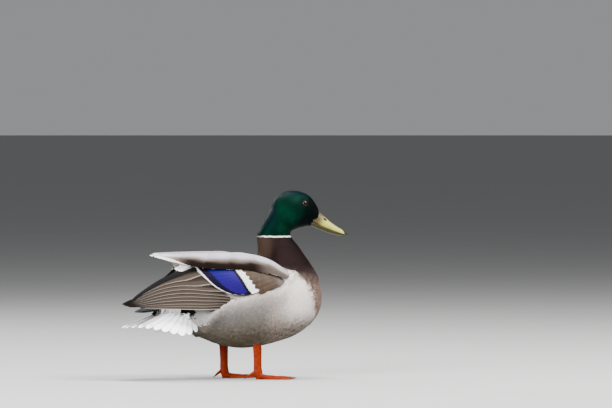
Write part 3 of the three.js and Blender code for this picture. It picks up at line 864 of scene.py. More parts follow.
def lay_coat(name, roots, outs, length, width, lift, shape, finish, slot):
    """One piece of coat from its roots, in millimetres; length, width and lift have one value a root."""
    count = len(roots)
    stations = np.array(SHAPES[shape])
    along = np.concatenate([[0], np.repeat(stations[:, 0], 4), [1]])
    wide = np.concatenate([[0], np.repeat(stations[:, 1], 4), [0]])
    ring = np.tile([(-1, 0), (0, 1), (1, 0), (0, -1)], (len(stations), 1))
    across = np.concatenate([[0], ring[:, 0], [0]]) * wide
    crown = np.concatenate([[0], ring[:, 1], [0]]) * (1.0 if shape == "round" else 0.5)
    ways = lie_at(roots, outs)
    spin = np.radians(rng.normal(0, UNRULY, count))[:, None]
    sides = np.cross(outs, ways)
    ways, sides = ways * np.cos(spin) + sides * np.sin(spin), sides * np.cos(spin) - ways * np.sin(spin)
    length, width = length * rng.uniform(0.88, 1.12, count), width * rng.uniform(0.9, 1.1, count)
    flat = (roots[:, None] + ways[:, None] * (along * length[:, None])[..., None]
            + sides[:, None] * (across * width[:, None] / 2)[..., None])
    ground, up = nearest(drape_tree, flat.reshape(-1, 3))
    over = lift + rng.normal(0, 0.04, count)
    height = over[:, None] * (0.25 + 0.75 * along) - CAMBER[shape] * np.abs(across) + 0.10 * crown
    height = height - np.where(along == 0, 0.8, 0)
    per = len(along)
    points = (ground + up * height.reshape(-1)[:, None]).reshape(count, per, 3)
    # a vane that would bridge a step in the body, such as a wing's edge, is left out
    steps = np.linalg.norm(np.diff(points[:, 1::4], axis=1), axis=2)
    fits = steps.max(1) < 1.35 * length * np.diff([*stations[:, 0], 1]).max()
    points, roots, count = points[fits].reshape(-1, 3), roots[fits], int(fits.sum())
    faces = []
    for k in range(4):
        faces.append((0, 1 + k, 1 + (k + 1) % 4))
        for i in range(len(stations) - 1):
            a = 1 + 4 * i
            faces.append((a + k, a + 4 + k, a + 4 + (k + 1) % 4, a + (k + 1) % 4))
        faces.append((per - 1, per - 5 + (k + 1) % 4, per - 5 + k))
    every = [tuple(v + per * n for v in face) for n in range(count) for face in faces]
    piece = new_piece(name, points, every)
    piece.data.set_sharp_from_angle(angle=math.radians(55))
    chance = np.repeat(rng.uniform(0, 1, count), per)
    across, along, at_root = np.tile(across, count), np.tile(along, count), np.repeat(roots, per, axis=0)
    # near the collar a vane is dyed point by point, and elsewhere it has its root's colour throughout
    asked = mix(at_root, points, fade(22, 12, np.abs(at_root[:, 2] - 210)))
    tint = plumage(asked) * np.repeat(rng.normal(1, EVEN[shape], count), per)[:, None]
    keep_on_points(piece, "tint", np.clip(fringed(tint, along, at_root), 0, 1))
    keep_on_points(piece, "vane", np.stack([across, along, chance], 1))
    map_coat(piece, unwrap(at_root), across, along)
    return finished(piece, finish, slot)


def fringed(tint, along, p):
    """Paler tips on the breast, as each of its feathers has a light edge."""
    x, _, z = straightened(p)
    breast = fade(178, 140, z) * fade(20, 60, x) * (tint[:, 2] < 0.2)
    edge = fade(0.72, 1.0, along) * breast * (0.25 + 0.45 * mottle(p, 9, 5))
    return mix(tint, DYES["pale fringe"], np.clip(edge, 0, 1))


def map_coat(piece, centre, across, along):
    """Gives each vane its small patch on the flat map, at its root's place."""
    place = centre + PATCH * np.stack([0.5 * across, along - 0.5], 1)
    corner = np.empty(len(piece.data.loops), int)
    piece.data.loops.foreach_get("vertex_index", corner)
    piece.data.uv_layers.new(name="OFBake").data.foreach_set("uv", place[corner].ravel())


def uncovered(roots, outs):
    """Whether each root lies open, not under a wing or the tail."""
    made = []
    for root, out in zip(roots.tolist(), outs.tolist()):
        near = beds_tree.find_nearest(root, 1.2)[0]
        beside = near is not None and (near - Vector(root)).dot(Vector(out)) > -0.25
        made.append(not beside and beds_tree.ray_cast(root, out, 14.0)[0] is None)
    return np.array(made)


def feather_length(p):
    """How long the coat's feathers are at each point, in millimetres."""
    x, _, z = straightened(p)
    head = through((49, 6.0), (80, 5.2), (104, 3.8), (118, 2.8))(x)
    trunk = mix(11.0, 18.0, fade(80, 40, x))
    trunk = mix(trunk, 8.0, fade(165, 195, z))
    trunk = np.where(z < 54, 6.0, trunk)
    length = mix(trunk, head, fade(205, 216, z))
    return np.where(near_eye(p) < 9, 2.2 + 0.2 * near_eye(p), length)


def near_eye(p):
    """How far each point is from the middle line of the nearer eye, in millimetres."""
    x, y, z = straightened(p)
    ahead = x - 98 - 0.22 * (np.abs(y) - 11.8)
    return np.where(np.abs(y) > 8, np.hypot(ahead, z - 261.7), 99)


# %% The coat, part by part
def part_of_coat(p, length):
    """The part of the coat that each root is in. A feather that hangs below the collar is the neck's."""
    x, _, z = straightened(p)
    above = z - 0.85 * length > 212.8
    brown = (z > 168) | (x - breast_border(z) > -3)
    rules = {
        "face": above & (x > 86),
        "crown": above & (z > 248),
        "nape": above,
        "neck": z > 176,
        "breast": brown,
        "side": x > 6,
    }
    return np.select(list(rules.values()), list(rules), "flank")  # the first rule that holds


for part, seed, spacing, shape, width, finish, slot in (
    ("face", 11, 0.78, "fine", 0.36, "head", "head_feathers"),
    ("crown", 12, 0.88, "fine", 0.32, "head", "head_feathers"),
    ("nape", 13, 0.92, "fine", 0.30, "head", "head_feathers"),
    ("neck", 14, 1.25, "fine", 0.34, "breast", "breast_feathers"),
    ("breast", 15, 1.7, "round", 0.50, "breast", "breast_feathers"),
    ("side", 16, 1.9, "soft", 0.36, "body", "body_feathers"),
    ("flank", 17, 2.1, "soft", 0.34, "body", "body_feathers"),
):
    roots, outs = scatter(spacing, seed)
    length = feather_length(roots)
    own = part_of_coat(roots, length) == part
    roots, outs, length = roots[own], outs[own], length[own]
    free = uncovered(roots, outs) & (near_eye(roots) > 4.9)
    roots, outs, length = roots[free], outs[free], length[free]
    lift = coat_depth(roots) * (0.7 if shape == "soft" else 0.9)
    coat = lay_coat(part + "_coat", roots, outs, length, length * width, lift, shape, finishes[finish], slot)
    print(part, "coat:", len(roots), "roots,", len(coat.data.polygons), "faces")

# %% [markdown]
# What little of the skin shows between the feathers has the same colours as they have, asked of
# the same rules, made darker by a third as painted shade between the feathers.

# %% The skin's own finish
# the feathers' colours, darkened as painted shade in the gaps
keep_on_points(skin, "tint", plumage(points_of(skin)) * 0.7)
keep_on_points(skin, "vane", np.zeros((len(skin.data.vertices), 3)))
finished(skin, plumage_finish("feathered_skin", 0.1, 0, 0.8), "body_feathers",
         "trunk", "neck", "head", "thigh_right", "thigh_left")

# %% [markdown]
# A folded wing is a stack of long stiff feathers, each one a closed leaf lying on the wing's outer
# face. That face is the same long rounded form as in the frame, so a feather can be drawn flat,
# seen from the side, and pushed out on to it. Its lower and upper edges are two curves; between
# them the leaf is widest in the middle and rounded at the tip.

# %% The outer face of the folded wing
# The left wing is folded closer: its rear part is pressed down toward the wing's lower edge.
left_press = through((-178, 0.45), (-150, 0.45), (-130, 0.6), (-110, 0.7), (-98, 0.78), (-78, 1))
LEFT_PRESS_TO = 106


def on_wing(side):
    """Takes x, z and a lift, in millimetres, to points on one wing's face."""

    def place(flat, lift):
        x, z = flat[..., 0], flat[..., 1] + 1.0
        if side > 0:
            z = LEFT_PRESS_TO + (z - LEFT_PRESS_TO) * left_press(x)
        y = wing_reach(x, z)
        slope_x = (wing_reach(x + 0.5, z) - wing_reach(x - 0.5, z))
        slope_z = (wing_reach(x, z + 0.5) - wing_reach(x, z - 0.5))
        out = np.stack([-slope_x, side * np.ones_like(y), -slope_z], -1)
        out /= np.linalg.norm(out, axis=-1)[..., None]
        return np.stack([x, side * y, z], -1) + out * lift[..., None]

    return place


def line(*points):
    """A smooth curve through flat points, from 0 to 1."""
    points = np.array(points, float)
    run = np.concatenate([[0], np.cumsum(np.linalg.norm(np.diff(points, axis=0), axis=1))])
    curves = [through(*zip(run / run[-1], points[:, i])) for i in range(points.shape[1])]
    return lambda s: np.stack([curve(s) for curve in curves], -1)


ROWS = 18
ACROSS = np.array([-1, -0.75, -0.5, -0.25, 0, 0.25, 0.5, 0.75, 1, 0.75, 0.5, 0.25, 0, -0.25, -0.5, -0.75])
ROUND = len(ACROSS)


def quill(place, lower, upper, lift=0.0, tilt=0.4, thick=0.35, shaft=0.45, blunt=0.75, narrow=0.5, sink=0.0):
    """A closed leaf between two edge curves. Returns its points, faces and the places along and across it."""
    s = 1 - (1 - np.linspace(0, 1, ROWS)) ** 1.6
    tip = np.sqrt(np.clip(1 - (np.clip(s - blunt, 0, 1) / (1 - blunt)) ** 2, 0, 1))
    wide = np.maximum(tip * (narrow + (1 - narrow) * fade(0, 0.3, s)), 0.02)
    edge = ACROSS[None, :] * wide[:, None]
    share = shaft + edge * np.where(edge < 0, shaft, 1 - shaft)
    low, high = lower(s)[:, None, :], upper(s)[:, None, :]
    flat = low + (high - low) * share[..., None]
    top = (np.arange(ROUND) <= ROUND // 2)[None, :]
    crown = 0.2 * (1 - ACROSS**2)[None, :]
    height = lift - tilt * edge + np.where(top, crown, -thick * (1 - np.abs(ACROSS))[None, :])
    height = height - sink * fade(0.5, 0, s)[:, None]
    points, faces = closed_tube(place(flat, height))
    along = np.concatenate([[0], np.repeat(s, ROUND), [1]])
    over = np.concatenate([[0], np.broadcast_to(ACROSS, (ROWS, ROUND)).ravel(), [0]])
    length = np.linalg.norm(points[1 + ROUND * (ROWS - 1) + 4] - points[5])
    return points, faces, np.stack([over, along], 1), length


def lay_quills(name, quills, dye, finish):
    """One piece from many quills. The dye gives each one's colours from its number and its points."""
    piece = joined(name, *[(q[0], q[1]) for q in quills])
    shape = bmesh.new()
    shape.from_mesh(piece.data)
    bmesh.ops.recalc_face_normals(shape, faces=shape.faces)
    shape.to_mesh(piece.data)
    shape.free()
    piece.data.shade_smooth()
    piece.data.set_sharp_from_angle(angle=math.radians(55))
    tints = [dye(i, q[2][:, 0], q[2][:, 1], q[0], (1 - q[2][:, 1]) * q[3]) for i, q in enumerate(quills)]
    keep_on_points(piece, "tint", np.clip(np.concatenate(tints), 0, 1))
    chance = rng.uniform(0, 1, len(quills))
    vane = [np.c_[q[2], np.full(len(q[2]), c)] for q, c in zip(quills, chance)]
    keep_on_points(piece, "vane", np.concatenate(vane))
    piece.data.materials.append(finish)
    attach(piece, "root")
    print(name, len(quills), "feathers")
    return piece


print("the wing reaches", wing_reach(np.array([0.0]), np.array([120.0])).round(1), "mm from the middle")

# %% [markdown]
# Wing feathers are stiffer and glossier than the coat, with a dark shaft that shows as a line. The
# blue panel's colour comes from fine layers in the barbs, which throw back blue light only, so even
# its shine is tinted blue.


# %% Wing and tail materials
def quill_finish(name, streaks, shaft, roughness, gloss=0.07, **fixed):
    material, start, plug = new_finish(name, Roughness=roughness, Specular_IOR_Level=gloss, **fixed)
    across, along, chance = start.kept("vane", 1).split()
    away = start.maths("ABSOLUTE", across, 0.0)
    streak = start.vector(along * 70.0 + away * -14.0, chance * 40.0, across * 1.5).noise(1.0, 2.0)
    shade = streak.between(0.3, 0.7, 1.0 - streaks, 1.0 + streaks)
    shade = shade * away.between(0.03, 0.12, 1.0 - shaft, 1.0)
    plug(Base_Color=shade.tinted(), Normal=streak.bump(0.2, 0.0003))
    return material


flight_finish = quill_finish("stiff_flight_feathers", 0.12, 0.25, 0.5)
panel_finish = quill_finish("blue_panel_feathers", 0.15, 0.2, 0.4, gloss=0.2,
                            Specular_Tint=(0.25, 0.12, 1.0, 1.0))
roof_finish = quill_finish("satin_shoulder_feathers", 0.05, 0.10, 0.65, gloss=0.04)
tail_finish = quill_finish("white_tail_feathers", 0.05, 0.15, 0.6)
add_dyes({
    "flight grey": (0.0320, 0.0232, 0.0182),
    "painted flight shade": (0.0077, 0.0051, 0.0038),
    "cream edge": (0.397, 0.346, 0.282),
    "panel blue": (0.0037, 0.0023, 0.0600),
    "panel violet": (0.0130, 0.0024, 0.0630),
    "soot": (0.0022, 0.0020, 0.0022),
    "quill white": (0.50, 0.495, 0.485),
    "covert brown": (0.0280, 0.0178, 0.0112),
    "shoulder lilac": (0.246, 0.224, 0.262),
    "shoulder grey": (0.0768, 0.0589, 0.0493),
    "shoulder brown shade": (0.0042, 0.0018, 0.0010),
    "tail grey": (0.0640, 0.0525, 0.0448),
})

# %% [markdown]
# Nine primaries make the long point of the wing. Their lower edges fan out from the tip like the
# sticks of a hand fan, arching a little, and each lies over the top of the one below it. Only a
# narrow strip of each shows: a pale edge, the grey-brown vane, and a dark line of shade.

# %% The primaries

fan_root_x = through((0, -48), (0.24, -43), (0.45, -38), (0.67, -42), (0.8, -60), (0.9, -76),
                     (1.0, -90), (1.2, -100))
fan_root_z = through((0, 104), (0.24, 112), (0.45, 119), (0.67, 127), (0.8, 138), (0.9, 152),
                     (1.0, 168), (1.2, 178))
fan_tip_x = through((0, -168), (0.24, -173), (0.67, -181), (1.0, -181), (1.2, -176))
fan_tip_z = through((0, 107), (0.24, 110), (0.67, 115), (1.0, 120), (1.2, 124))
fan_arch = through((0, 0), (0.24, 3), (0.67, 13.7), (0.8, 13), (0.9, 9), (1.0, 3.5), (1.2, 3))


def fan_line(k, closer):
    """The k-th line of the wing's fan, from the wrist to the tip, seen from the side."""

    def at(s):
        root = np.array([fan_root_x(k), fan_root_z(k)])
        tip = np.array([fan_tip_x(k) + closer, fan_tip_z(k)])
        flat = root + (tip - root) * s[:, None]
        flat[:, 1] += fan_arch(k) * np.sin(math.pi * s**1.1)
        return flat

    return at


PRIMARIES = 9


def primary_dye(i, across, along, p, from_tip):
    pale, dark, cream = dyes("flight grey", "painted flight shade", "cream edge")
    pale = pale * (1 + 0.10 * math.sin(2.3 * i))
    colour = mix(pale, pale * 0.5, fade(0.6, 1.0, along))
    # the upper part of each primary, under the next one, is darkened as a painted line of shade
    colour = mix(colour, dark, 0.9 * fade(-0.10, 0.08, across))
    edge = fade(-0.74, -0.93, across) * (0.95 if i == 0 else 0.4)
    return mix(colour, cream, edge * fade(1.0, 0.9, along))


for name, side in SIDES.items():
    closer = 8 if side > 0 else 0
    blades = [
        quill(on_wing(side), fan_line(k, closer), fan_line(k + 0.19, closer),
              lift=-1.1, tilt=0.55, shaft=0.5, blunt=0.9)
        for k in np.arange(PRIMARIES) / PRIMARIES
    ]
    made = lay_quills("primaries_vanes_" + name, blades, primary_dye, flight_finish)
    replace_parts(made, "primaries_" + name)

# %% [markdown]
# Behind the primaries' upper strip the wing's rear edge lies in deep shade: a row of near-black quills
# along the slope is painted shade, and the last few end in white just below the shoulder.

# %% The dark rear edge and its white tips
rear_edge = line((-84, 173), (-94, 169), (-108, 164.5), (-122, 159), (-145, 147.5), (-168, 132), (-184, 119))
inner_edge = line((-80, 162), (-94, 161.5), (-108, 157), (-122, 151.5), (-145, 140.5), (-168, 126.5),
                  (-180, 115.5))


def rear_shade_dye(i, across, along, p, from_tip):
    # near-black all over: painted shade along the wing's rear edge
    return DYES["soot"] + 0 * p


def white_dye(i, across, along, p, from_tip):
    soot, white = dyes("soot", "quill white")
    return mix(soot, white, fade(-0.75, -0.45, across + 0.3 * along) * fade(0.15, 0.3, along))


for name, side in SIDES.items():
    closer = 8 if side > 0 else 0
    blades = []
    for stop in (1.0, 0.88, 0.76, 0.64, 0.52, 0.40):
        def low(s, stop=stop):
            return inner_edge(s * stop) + (closer * s[:, None] * stop) * np.array([1, 0])

        def high(s, stop=stop):
            return rear_edge(s * stop) + (closer * s[:, None] * stop) * np.array([1, 0])

        blades.append(quill(on_wing(side), low, high, lift=0.3 - 0.7 * stop, tilt=0.2, shaft=0.6,
                            blunt=0.88, narrow=0.8))
    lay_quills("rear_shade_quills_" + name, blades, rear_shade_dye, flight_finish)

blades = [
    quill(on_wing(-1), line((-84, z0 - 1), (x1 + 10, z1 - 3.6)), line((-84, z0 + 6), (x1, z1 + 2.5)),
          lift=0.6 + 0.25 * n, tilt=-0.2, shaft=0.6, blunt=0.82, narrow=0.9)
    for n, (z0, x1, z1) in enumerate(((170, -120, 163.5), (172, -112, 168), (174, -103, 171.5)))
]
lay_quills("white_tips_right", blades, white_dye, flight_finish)

# %% [markdown]
# The secondaries carry the blue panel. They fan from under the coverts to the panel's rear
# border, and each ends in a black band and a white edge, so the row of tips draws the panel's
# black-and-white frame by itself.

# %% The blue panel
panel_root_x = through((0, -6), (1, -27))
panel_root_z = through((0, 131), (1, 168))
panel_tip_x = through((0, -19), (0.15, -34), (0.3, -49), (0.55, -66), (0.8, -79), (1.0, -90), (1.2, -98))
panel_tip_z = through((0, 127.4), (0.15, 126.6), (0.3, 131.5), (0.55, 142), (0.8, 156.5),
                      (1.0, 170.5), (1.2, 178))
black_band = through((0, 7), (0.15, 8), (0.3, 10), (0.55, 11), (0.8, 13), (1.0, 17))
white_edge = through((0, 1.5), (0.3, 1.8), (0.55, 2.4), (1.0, 3.2))
SECONDARIES = 11


def panel_line(k):
    def at(s):
        root = np.array([panel_root_x(k), panel_root_z(k)])
        tip = np.array([panel_tip_x(k), panel_tip_z(k)])
        flat = root + (tip - root) * s[:, None]
        flat[:, 1] -= 2.5 * (1 - k) * np.sin(math.pi * s)
        return flat

    return at


def panel_dye(i, across, along, p, from_tip):
    k = i / SECONDARIES
    blue, violet, soot, white = dyes("panel blue", "panel violet", "soot", "quill white")
    band, edge = black_band(k), white_edge(k)
    colour = mix(blue, violet, 0.3 + 0.25 * math.sin(5 * k) + 0.2 * across)
    colour = mix(colour, soot, fade(0.08, 0.04, k) * 0.9)
    colour = mix(soot, colour, fade(band + edge - 0.8, band + edge + 0.8, from_tip))
    return mix(white, colour, fade(edge - 0.4, edge + 0.4, from_tip))


for name, side in SIDES.items():
    blades = [
        quill(on_wing(side), panel_line(k), panel_line(k + 0.17),
              lift=0.15, tilt=0.35, shaft=0.5, blunt=0.93, narrow=0.9)
        for k in np.arange(SECONDARIES) / SECONDARIES
    ]
    lay_quills("blue_panel_" + name, blades, panel_dye, panel_finish)

# %% [markdown]
# In front of the panel the greater coverts overlap it. Their black tips and the white bars before
# them make the panel's front border. The smaller coverts ahead of these are plain brown and lie in
# short rows like slates.

# %% The coverts
covert_tip_x = through((0, -9.5), (0.12, -15), (0.5, -23.5), (1.0, -35), (1.2, -39))
covert_tip_z = through((0, 126), (0.12, 133), (0.5, 148.5), (1.0, 167), (1.2, 174))
white_bar = through((0, 12.0), (0.5, 11.0), (1.0, 8.5))
covert_edge = through((-24, 124), (-8, 128), (10, 133), (40, 137))
COVERTS = 9


def covert_line(k):
    tip = np.array([covert_tip_x(k), covert_tip_z(k)])
    root = tip + (26, 2 + 6 * (1 - k))
    return line(root, (root + tip) / 2 + (0, 0.6), tip)


def covert_dye(i, across, along, p, from_tip):
    k = i / COVERTS
    soot, white, brown = dyes("soot", "quill white", "covert brown")
    colour = mix(brown, white, fade(white_bar(k) + 6.2, white_bar(k) + 3.4, from_tip))
    return mix(soot, colour, fade(3.6, 4.6, from_tip + 0.5 * across))


def brown_dye(i, across, along, p, from_tip):
    brown = DYES["covert brown"] * (0.85 + 0.3 * mottle(p, 12, 3))[:, None]
    pale = fade(34, 46, p[:, 0] + 0.4 * (p[:, 2] - 140)) * fade(158, 148, p[:, 2])
    brown = mix(brown, DYES["shoulder lilac"], 0.15 * pale)
    return mix(brown, brown * 1.5, fade(0.7, 1.0, np.maximum(along, np.abs(across))) * 0.6)


for name, side in SIDES.items():
    blades = [
        quill(on_wing(side), covert_line(k), covert_line(k + 0.18),
              lift=0.6, tilt=0.3, shaft=0.5, blunt=0.9, narrow=0.8)
        for k in np.arange(COVERTS) / COVERTS
    ]
    lay_quills("edged_coverts_" + name, blades, covert_dye, flight_finish)
    blades = []
    for row in range(7):
        for k in np.arange(-0.1, 1.1, 0.16):
            k = k + 0.08 * (row % 2)
            tip = np.array([covert_tip_x(k) + 14 + 7.0 * row + 3.0 * (1 - k),
                            covert_tip_z(k) + 1 - 1.6 * row])
            if tip[0] > 34 or tip[1] > 170 or tip[1] < covert_edge(tip[0]) - 2:
                continue
            root, wide = tip + (15, 4.0), np.array([0.8, 4.6])
            blades.append(quill(on_wing(side), line(root - wide, tip - wide), line(root + wide, tip + wide),
                                lift=1.0 + 0.06 * row, tilt=0.15, blunt=0.55))
    lay_quills("brown_coverts_" + name, blades, brown_dye, flight_finish)
    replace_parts(bpy.data.objects["brown_coverts_" + name], "wing_" + name)

# %% [markdown]
# The scapulars and tertials lie over the top of the folded wing as one smooth roof that ends in a
# free point. Its form is an arch whose crest runs back along the wing; a place on it is how far
# back it is, and how far round from the inner edge (-1) over the crest (0) to the outer edge (1).

# %% The shoulder roof
ROOF_END = {"right": -154, "left": -128}


def on_roof(name):
    end, side = ROOF_END[name], SIDES[name]

    def part(share):
        return end + (-50 - end) * share

    crest_y = through((end, 33), (-120, 36), (-80, 39), (-30, 41), (0, 42), (30, 46), (60, 50))
    crest_z = through((end, 187.5), (-120, 188), (-80, 188.5), (-33, 188.5), (-8, 187.5), (30, 177.5),
                      (60, 158))
    size = through((end, 0.05), (part(0.14), 0.20), (part(0.37), 0.50), (part(0.66), 0.86), (-50, 1), (10, 1),
                   (36, 0.8), (60, 0.5))

    def place(flat, lift):
        x, round_ = flat[..., 0], np.clip(flat[..., 1], -1.0, 1.0)
        keep = rounded_end(60 - np.minimum(x, 59.9), 14) * size(x)
        angle = math.pi / 2 * np.abs(round_)
        outer = round_ > 0
        wide = np.where(outer, 17.5, -27.0) * keep * np.sin(angle)
        fall = np.where(outer, 23.0, 15.0) * keep * (1 - np.cos(angle))
        out = np.stack([0 * x, side * np.where(outer, 1, -1) * np.sin(angle), np.cos(angle) + 0.05], -1)
        out /= np.linalg.norm(out, axis=-1)[..., None]
        return np.stack([x, side * (crest_y(x) + wide), crest_z(x) - fall], -1) + out * lift[..., None]

    return place


def roof_dye(i, across, along, p, from_tip):
    lilac, grey_brown, brown = dyes("shoulder lilac", "shoulder grey", "shoulder brown shade")
    x, z = p[:, 0], p[:, 2]
    top = through((-154, 187.5), (-80, 188.5), (-33, 188.5), (-8, 187.5), (30, 177.5), (60, 158))(x)
    size = through((-154, 0.3), (-115, 0.6), (-85, 0.9), (-50, 1), (10, 1), (60, 0.5))(x)
    down = (top - z) / size * (np.abs(p[:, 1]) > 40) + 2.5 * (mottle(p, 40, 8) - 0.5)
    colour = lilac * (1 + 0.05 * np.sin(3 * i + 5 * across))[:, None]
    pale_until = through((-154, 3.0), (-90, 3.5), (-20, 5.0), (30, 5.0), (60, 6.0))(x)
    # below the pale crest the roof turns grey-brown and then deep brown: the outer webs' own brown, deepened
    # into painted shade under the roof's lower edge
    colour = mix(colour, grey_brown, fade(0, 5.0, down - pale_until))
    darker = fade(4.6, 9.5, down - pale_until) * (0.3 + 0.7 * fade(30, 0, x))
    colour = mix(colour, brown, darker * fade(58, 46, x) * fade(-118, -96, x))
    colour = mix(colour, DYES["rear white"] * 0.8, fade(24, 50, x) * fade(8, 2, down - pale_until))
    colour = mix(colour, DYES["quill white"], 0.6 * fade(-112, -145, x))
    inner = fade(42, 22, np.abs(p[:, 1])) * fade(-150, -120, x)
    colour = mix(colour, DYES["mantle brown"] * 1.4, 0.8 * inner)
    rim = fade(0.80, 0.97, np.maximum(np.abs(across), along))
    return mix(colour, colour * 0.72, rim * 0.5)


for name, side in SIDES.items():
    end = ROOF_END[name]
    blades = []
    for root, tip, rounds, wide, lift in (
        (-20, end, (0.85, 0.35, -0.15, -0.6), 0.62, 0.25),
        (10, -112, (0.8, 0.25, -0.3, -0.8), 0.56, 0.65),
        (32, -74, (0.95, 0.5, 0.05, -0.4, -0.85), 0.46, 0.95),
        (46, -38, (0.85, 0.35, -0.15, -0.65), 0.44, 1.2),
        (54, -6, (0.95, 0.5, 0.05, -0.45, -0.9), 0.40, 1.4),
        (58, 22, (0.8, 0.3, -0.2, -0.7), 0.40, 1.5),
    ):
        for n, centre in enumerate(rounds):
            back = tip + 5.0 * n if tip != end else tip + 9.0 * abs(centre - 0.1)
            to = centre * (0.3 if tip == end else 0.8)
            between, aside = (root + back) / 2, (centre + to) / 2
            blades.append(quill(on_roof(name),
                                line((root, centre - wide), (between, aside - wide), (back, to - wide)),
                                line((root, centre + wide), (between, aside + wide), (back, to + wide)),
                                lift=lift, tilt=-0.12, thick=0.3, shaft=0.5, blunt=0.35, narrow=0.8))
    made = lay_quills("shoulder_roof_" + name, blades, roof_dye, roof_finish)
    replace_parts(made, "tertials_" + name)

# %% [markdown]
# The tail is a fan of stiff quills, arched so that its sides hang down. The middle pair lies on
# top. The outer feathers are white, and toward the middle they turn grey-brown with white edges.

# %% The tail fan
TAIL = dict(x=-80, z=117, droop=math.radians(21), half_fan=math.radians(64), arch=math.radians(38))
tail_length = through((0, 112), (0.4, 99), (0.75, 87), (0.9, 79), (1, 66))


def on_tail(flat, lift, over=False):
    """Takes how far out, where in the fan from -1 (right) to 1 (left), and a lift, to points.

    With over, a point that would lie inside the rump is laid on top of it."""
    out, at = flat[..., 0], flat[..., 1]
    spread, arch = TAIL["half_fan"] * at, TAIL["arch"] * np.abs(at) ** 1.5
    back = np.array([-math.cos(TAIL["droop"]), 0, -math.sin(TAIL["droop"])])
    up = np.array([-math.sin(TAIL["droop"]), 0, math.cos(TAIL["droop"])])
    sideways = out * np.sin(spread)
    rise = -np.abs(sideways) * np.sin(arch)
    point = np.array([TAIL["x"], 0, TAIL["z"]]) + back * (out * np.cos(spread))[..., None]
    point = point + np.stack([0 * out, sideways * np.cos(arch), 0 * out], -1) + up * rise[..., None]
    normal = up * np.cos(arch)[..., None] + np.stack([0 * out, np.sign(at) * np.sin(arch), 0 * out], -1)
    made = point + normal * lift[..., None]
    if not over:
        return made
    flat_points, flat_normals, heights = made.reshape(-1, 3), normal.reshape(-1, 3), lift.ravel()
    for n, (spot, up_here) in enumerate(zip(point.reshape(-1, 3), flat_normals)):
        hit = skin_tree.ray_cast((spot + 60 * up_here).tolist(), (-up_here).tolist(), 60.0)[0]
        if hit is not None:
            flat_points[n] = np.array(hit) + up_here * (3.6 + heights[n])
    return flat_points.reshape(made.shape)


def over_rump(flat, lift):
    return on_tail(flat, lift, over=True)


def tail_dye(i, across, along, p, from_tip):
    at = abs(TAIL_PLACES[i])
    white, grey_brown, soot = dyes("tail white", "tail grey", "soot")
    dusk = float(fade(0.42, 0.12, at))
    inner = fade(-0.1, 0.25, across * (1 if TAIL_PLACES[i] < 0 else -1))
    # one edge of each white feather is greyed as painted shade where the feathers overlap
    colour = mix(white, white * 0.30, fade(0.82, 0.98, across * (1 if TAIL_PLACES[i] < 0 else -1)) * 0.8)
    core = fade(0.86, 0.6, np.abs(across)) * fade(1.0, 0.9, along)
    core_colour = mix(grey_brown, soot, 0.5 * fade(0.1, 0.0, at))
    colour = mix(colour, core_colour, np.clip(core * (dusk + 0.25 * inner * (at < 0.6)), 0, 1))
    spot = np.exp(-((from_tip - 11) / 3) ** 2 - ((across - 0.1) / 0.35) ** 2) * (0.2 < at < 0.45)
    return mix(colour, soot, 0.8 * spot)


TAIL_PLACES = sorted([*np.linspace(-0.95, 0.95, 18), -1.10, 1.10], key=abs, reverse=True)
blades = []
for at in TAIL_PLACES:
    half = 0.085 + 0.03 * abs(at)
    reach = float(tail_length(abs(at))) - 60 * max(abs(at) - 1, 0)
    hand = 1 if at > 0 else -1
    held = over_rump if abs(at) < 0.7 else on_tail
    blades.append(quill(held, line((6, at - hand * half), (reach, at - hand * half * 0.8)),
                        line((6, at + hand * half), (reach, at + hand * half * 0.8)),
                        lift=0.9 - 0.8 * min(abs(at), 1), tilt=-0.5, thick=0.35, shaft=0.6, blunt=0.74,
                        narrow=0.45))
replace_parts(lay_quills("tail_vanes", blades, tail_dye, tail_finish), "tail")

# %% [markdown]
# Over and under the root of the tail lie black coverts, soft and ragged at their ends. A drake
# also has small black feathers curled forward over the tail.

# %% The black coverts and curls


def soot_dye(i, across, along, p, from_tip):
    # black with patches of painted blue-green sheen
    gloss = np.array((0.0022, 0.0070, 0.0090))
    return mix(DYES["soot"], gloss, mottle(p, 14, 4)) + 0 * p


def black_vanes(place, count, places, reach, lift, wide, seed):
    pick = np.random.default_rng(seed)
    blades = []
    for at in np.linspace(-places, places, count):
        at = at + pick.normal(0, 0.02)
        far = reach * pick.uniform(0.75, 1.1) * (1 - 0.45 * abs(at) ** 2)
        start = pick.uniform(-12, -4)
        blades.append(quill(place, line((start, at * 0.8 - wide), (far, at - wide)),
                            line((start, at * 0.8 + wide), (far, at + wide)),
                            lift=lift * pick.uniform(0.8, 1.2), tilt=0.0, thick=0.5, blunt=0.35, narrow=0.9))
    return blades


gloss_finish = quill_finish("glossy_black_feathers", 0.15, 0.0, 0.4, Coat_Weight=0.15, Coat_Roughness=0.35)
upper = black_vanes(over_rump, 20, 0.66, 34, 2.0, 0.10, 1)
upper += black_vanes(over_rump, 30, 0.95, 20, 2.8, 0.08, 2)
lay_quills("upper_tail_coverts", upper, soot_dye, gloss_finish)
under = black_vanes(on_tail, 18, 0.55, 46, -2.4, 0.09, 3) + black_vanes(on_tail, 16, 0.6, 28, -3.4, 0.09, 4)
lay_quills("under_tail_coverts", under, soot_dye, gloss_finish)


def curl(side, size, lean):
    """A narrow feather that rises from the tail's root and curls forward over itself."""
    def place(flat, lift):
        turn = 3.9 * flat[..., 0] ** 1.25
        radius = size * (1.2 - 0.5 * flat[..., 0])
        x = -108 - radius * np.sin(turn) + 2 * flat[..., 0]
        z = 117 + radius * (1 - np.cos(turn)) * 0.9
        y = side * (3 + lean * flat[..., 0]) + flat[..., 1]
        out = np.stack([np.sin(turn) * -1, 0 * turn, np.cos(turn)], -1)
        return np.stack([x, y, z], -1) + out * lift[..., None]

    return quill(place, line((0, -2.6), (1, -2.0)), line((0, 2.6), (1, 2.0)),
                 tilt=0, thick=0.3, blunt=0.4, narrow=0.9)


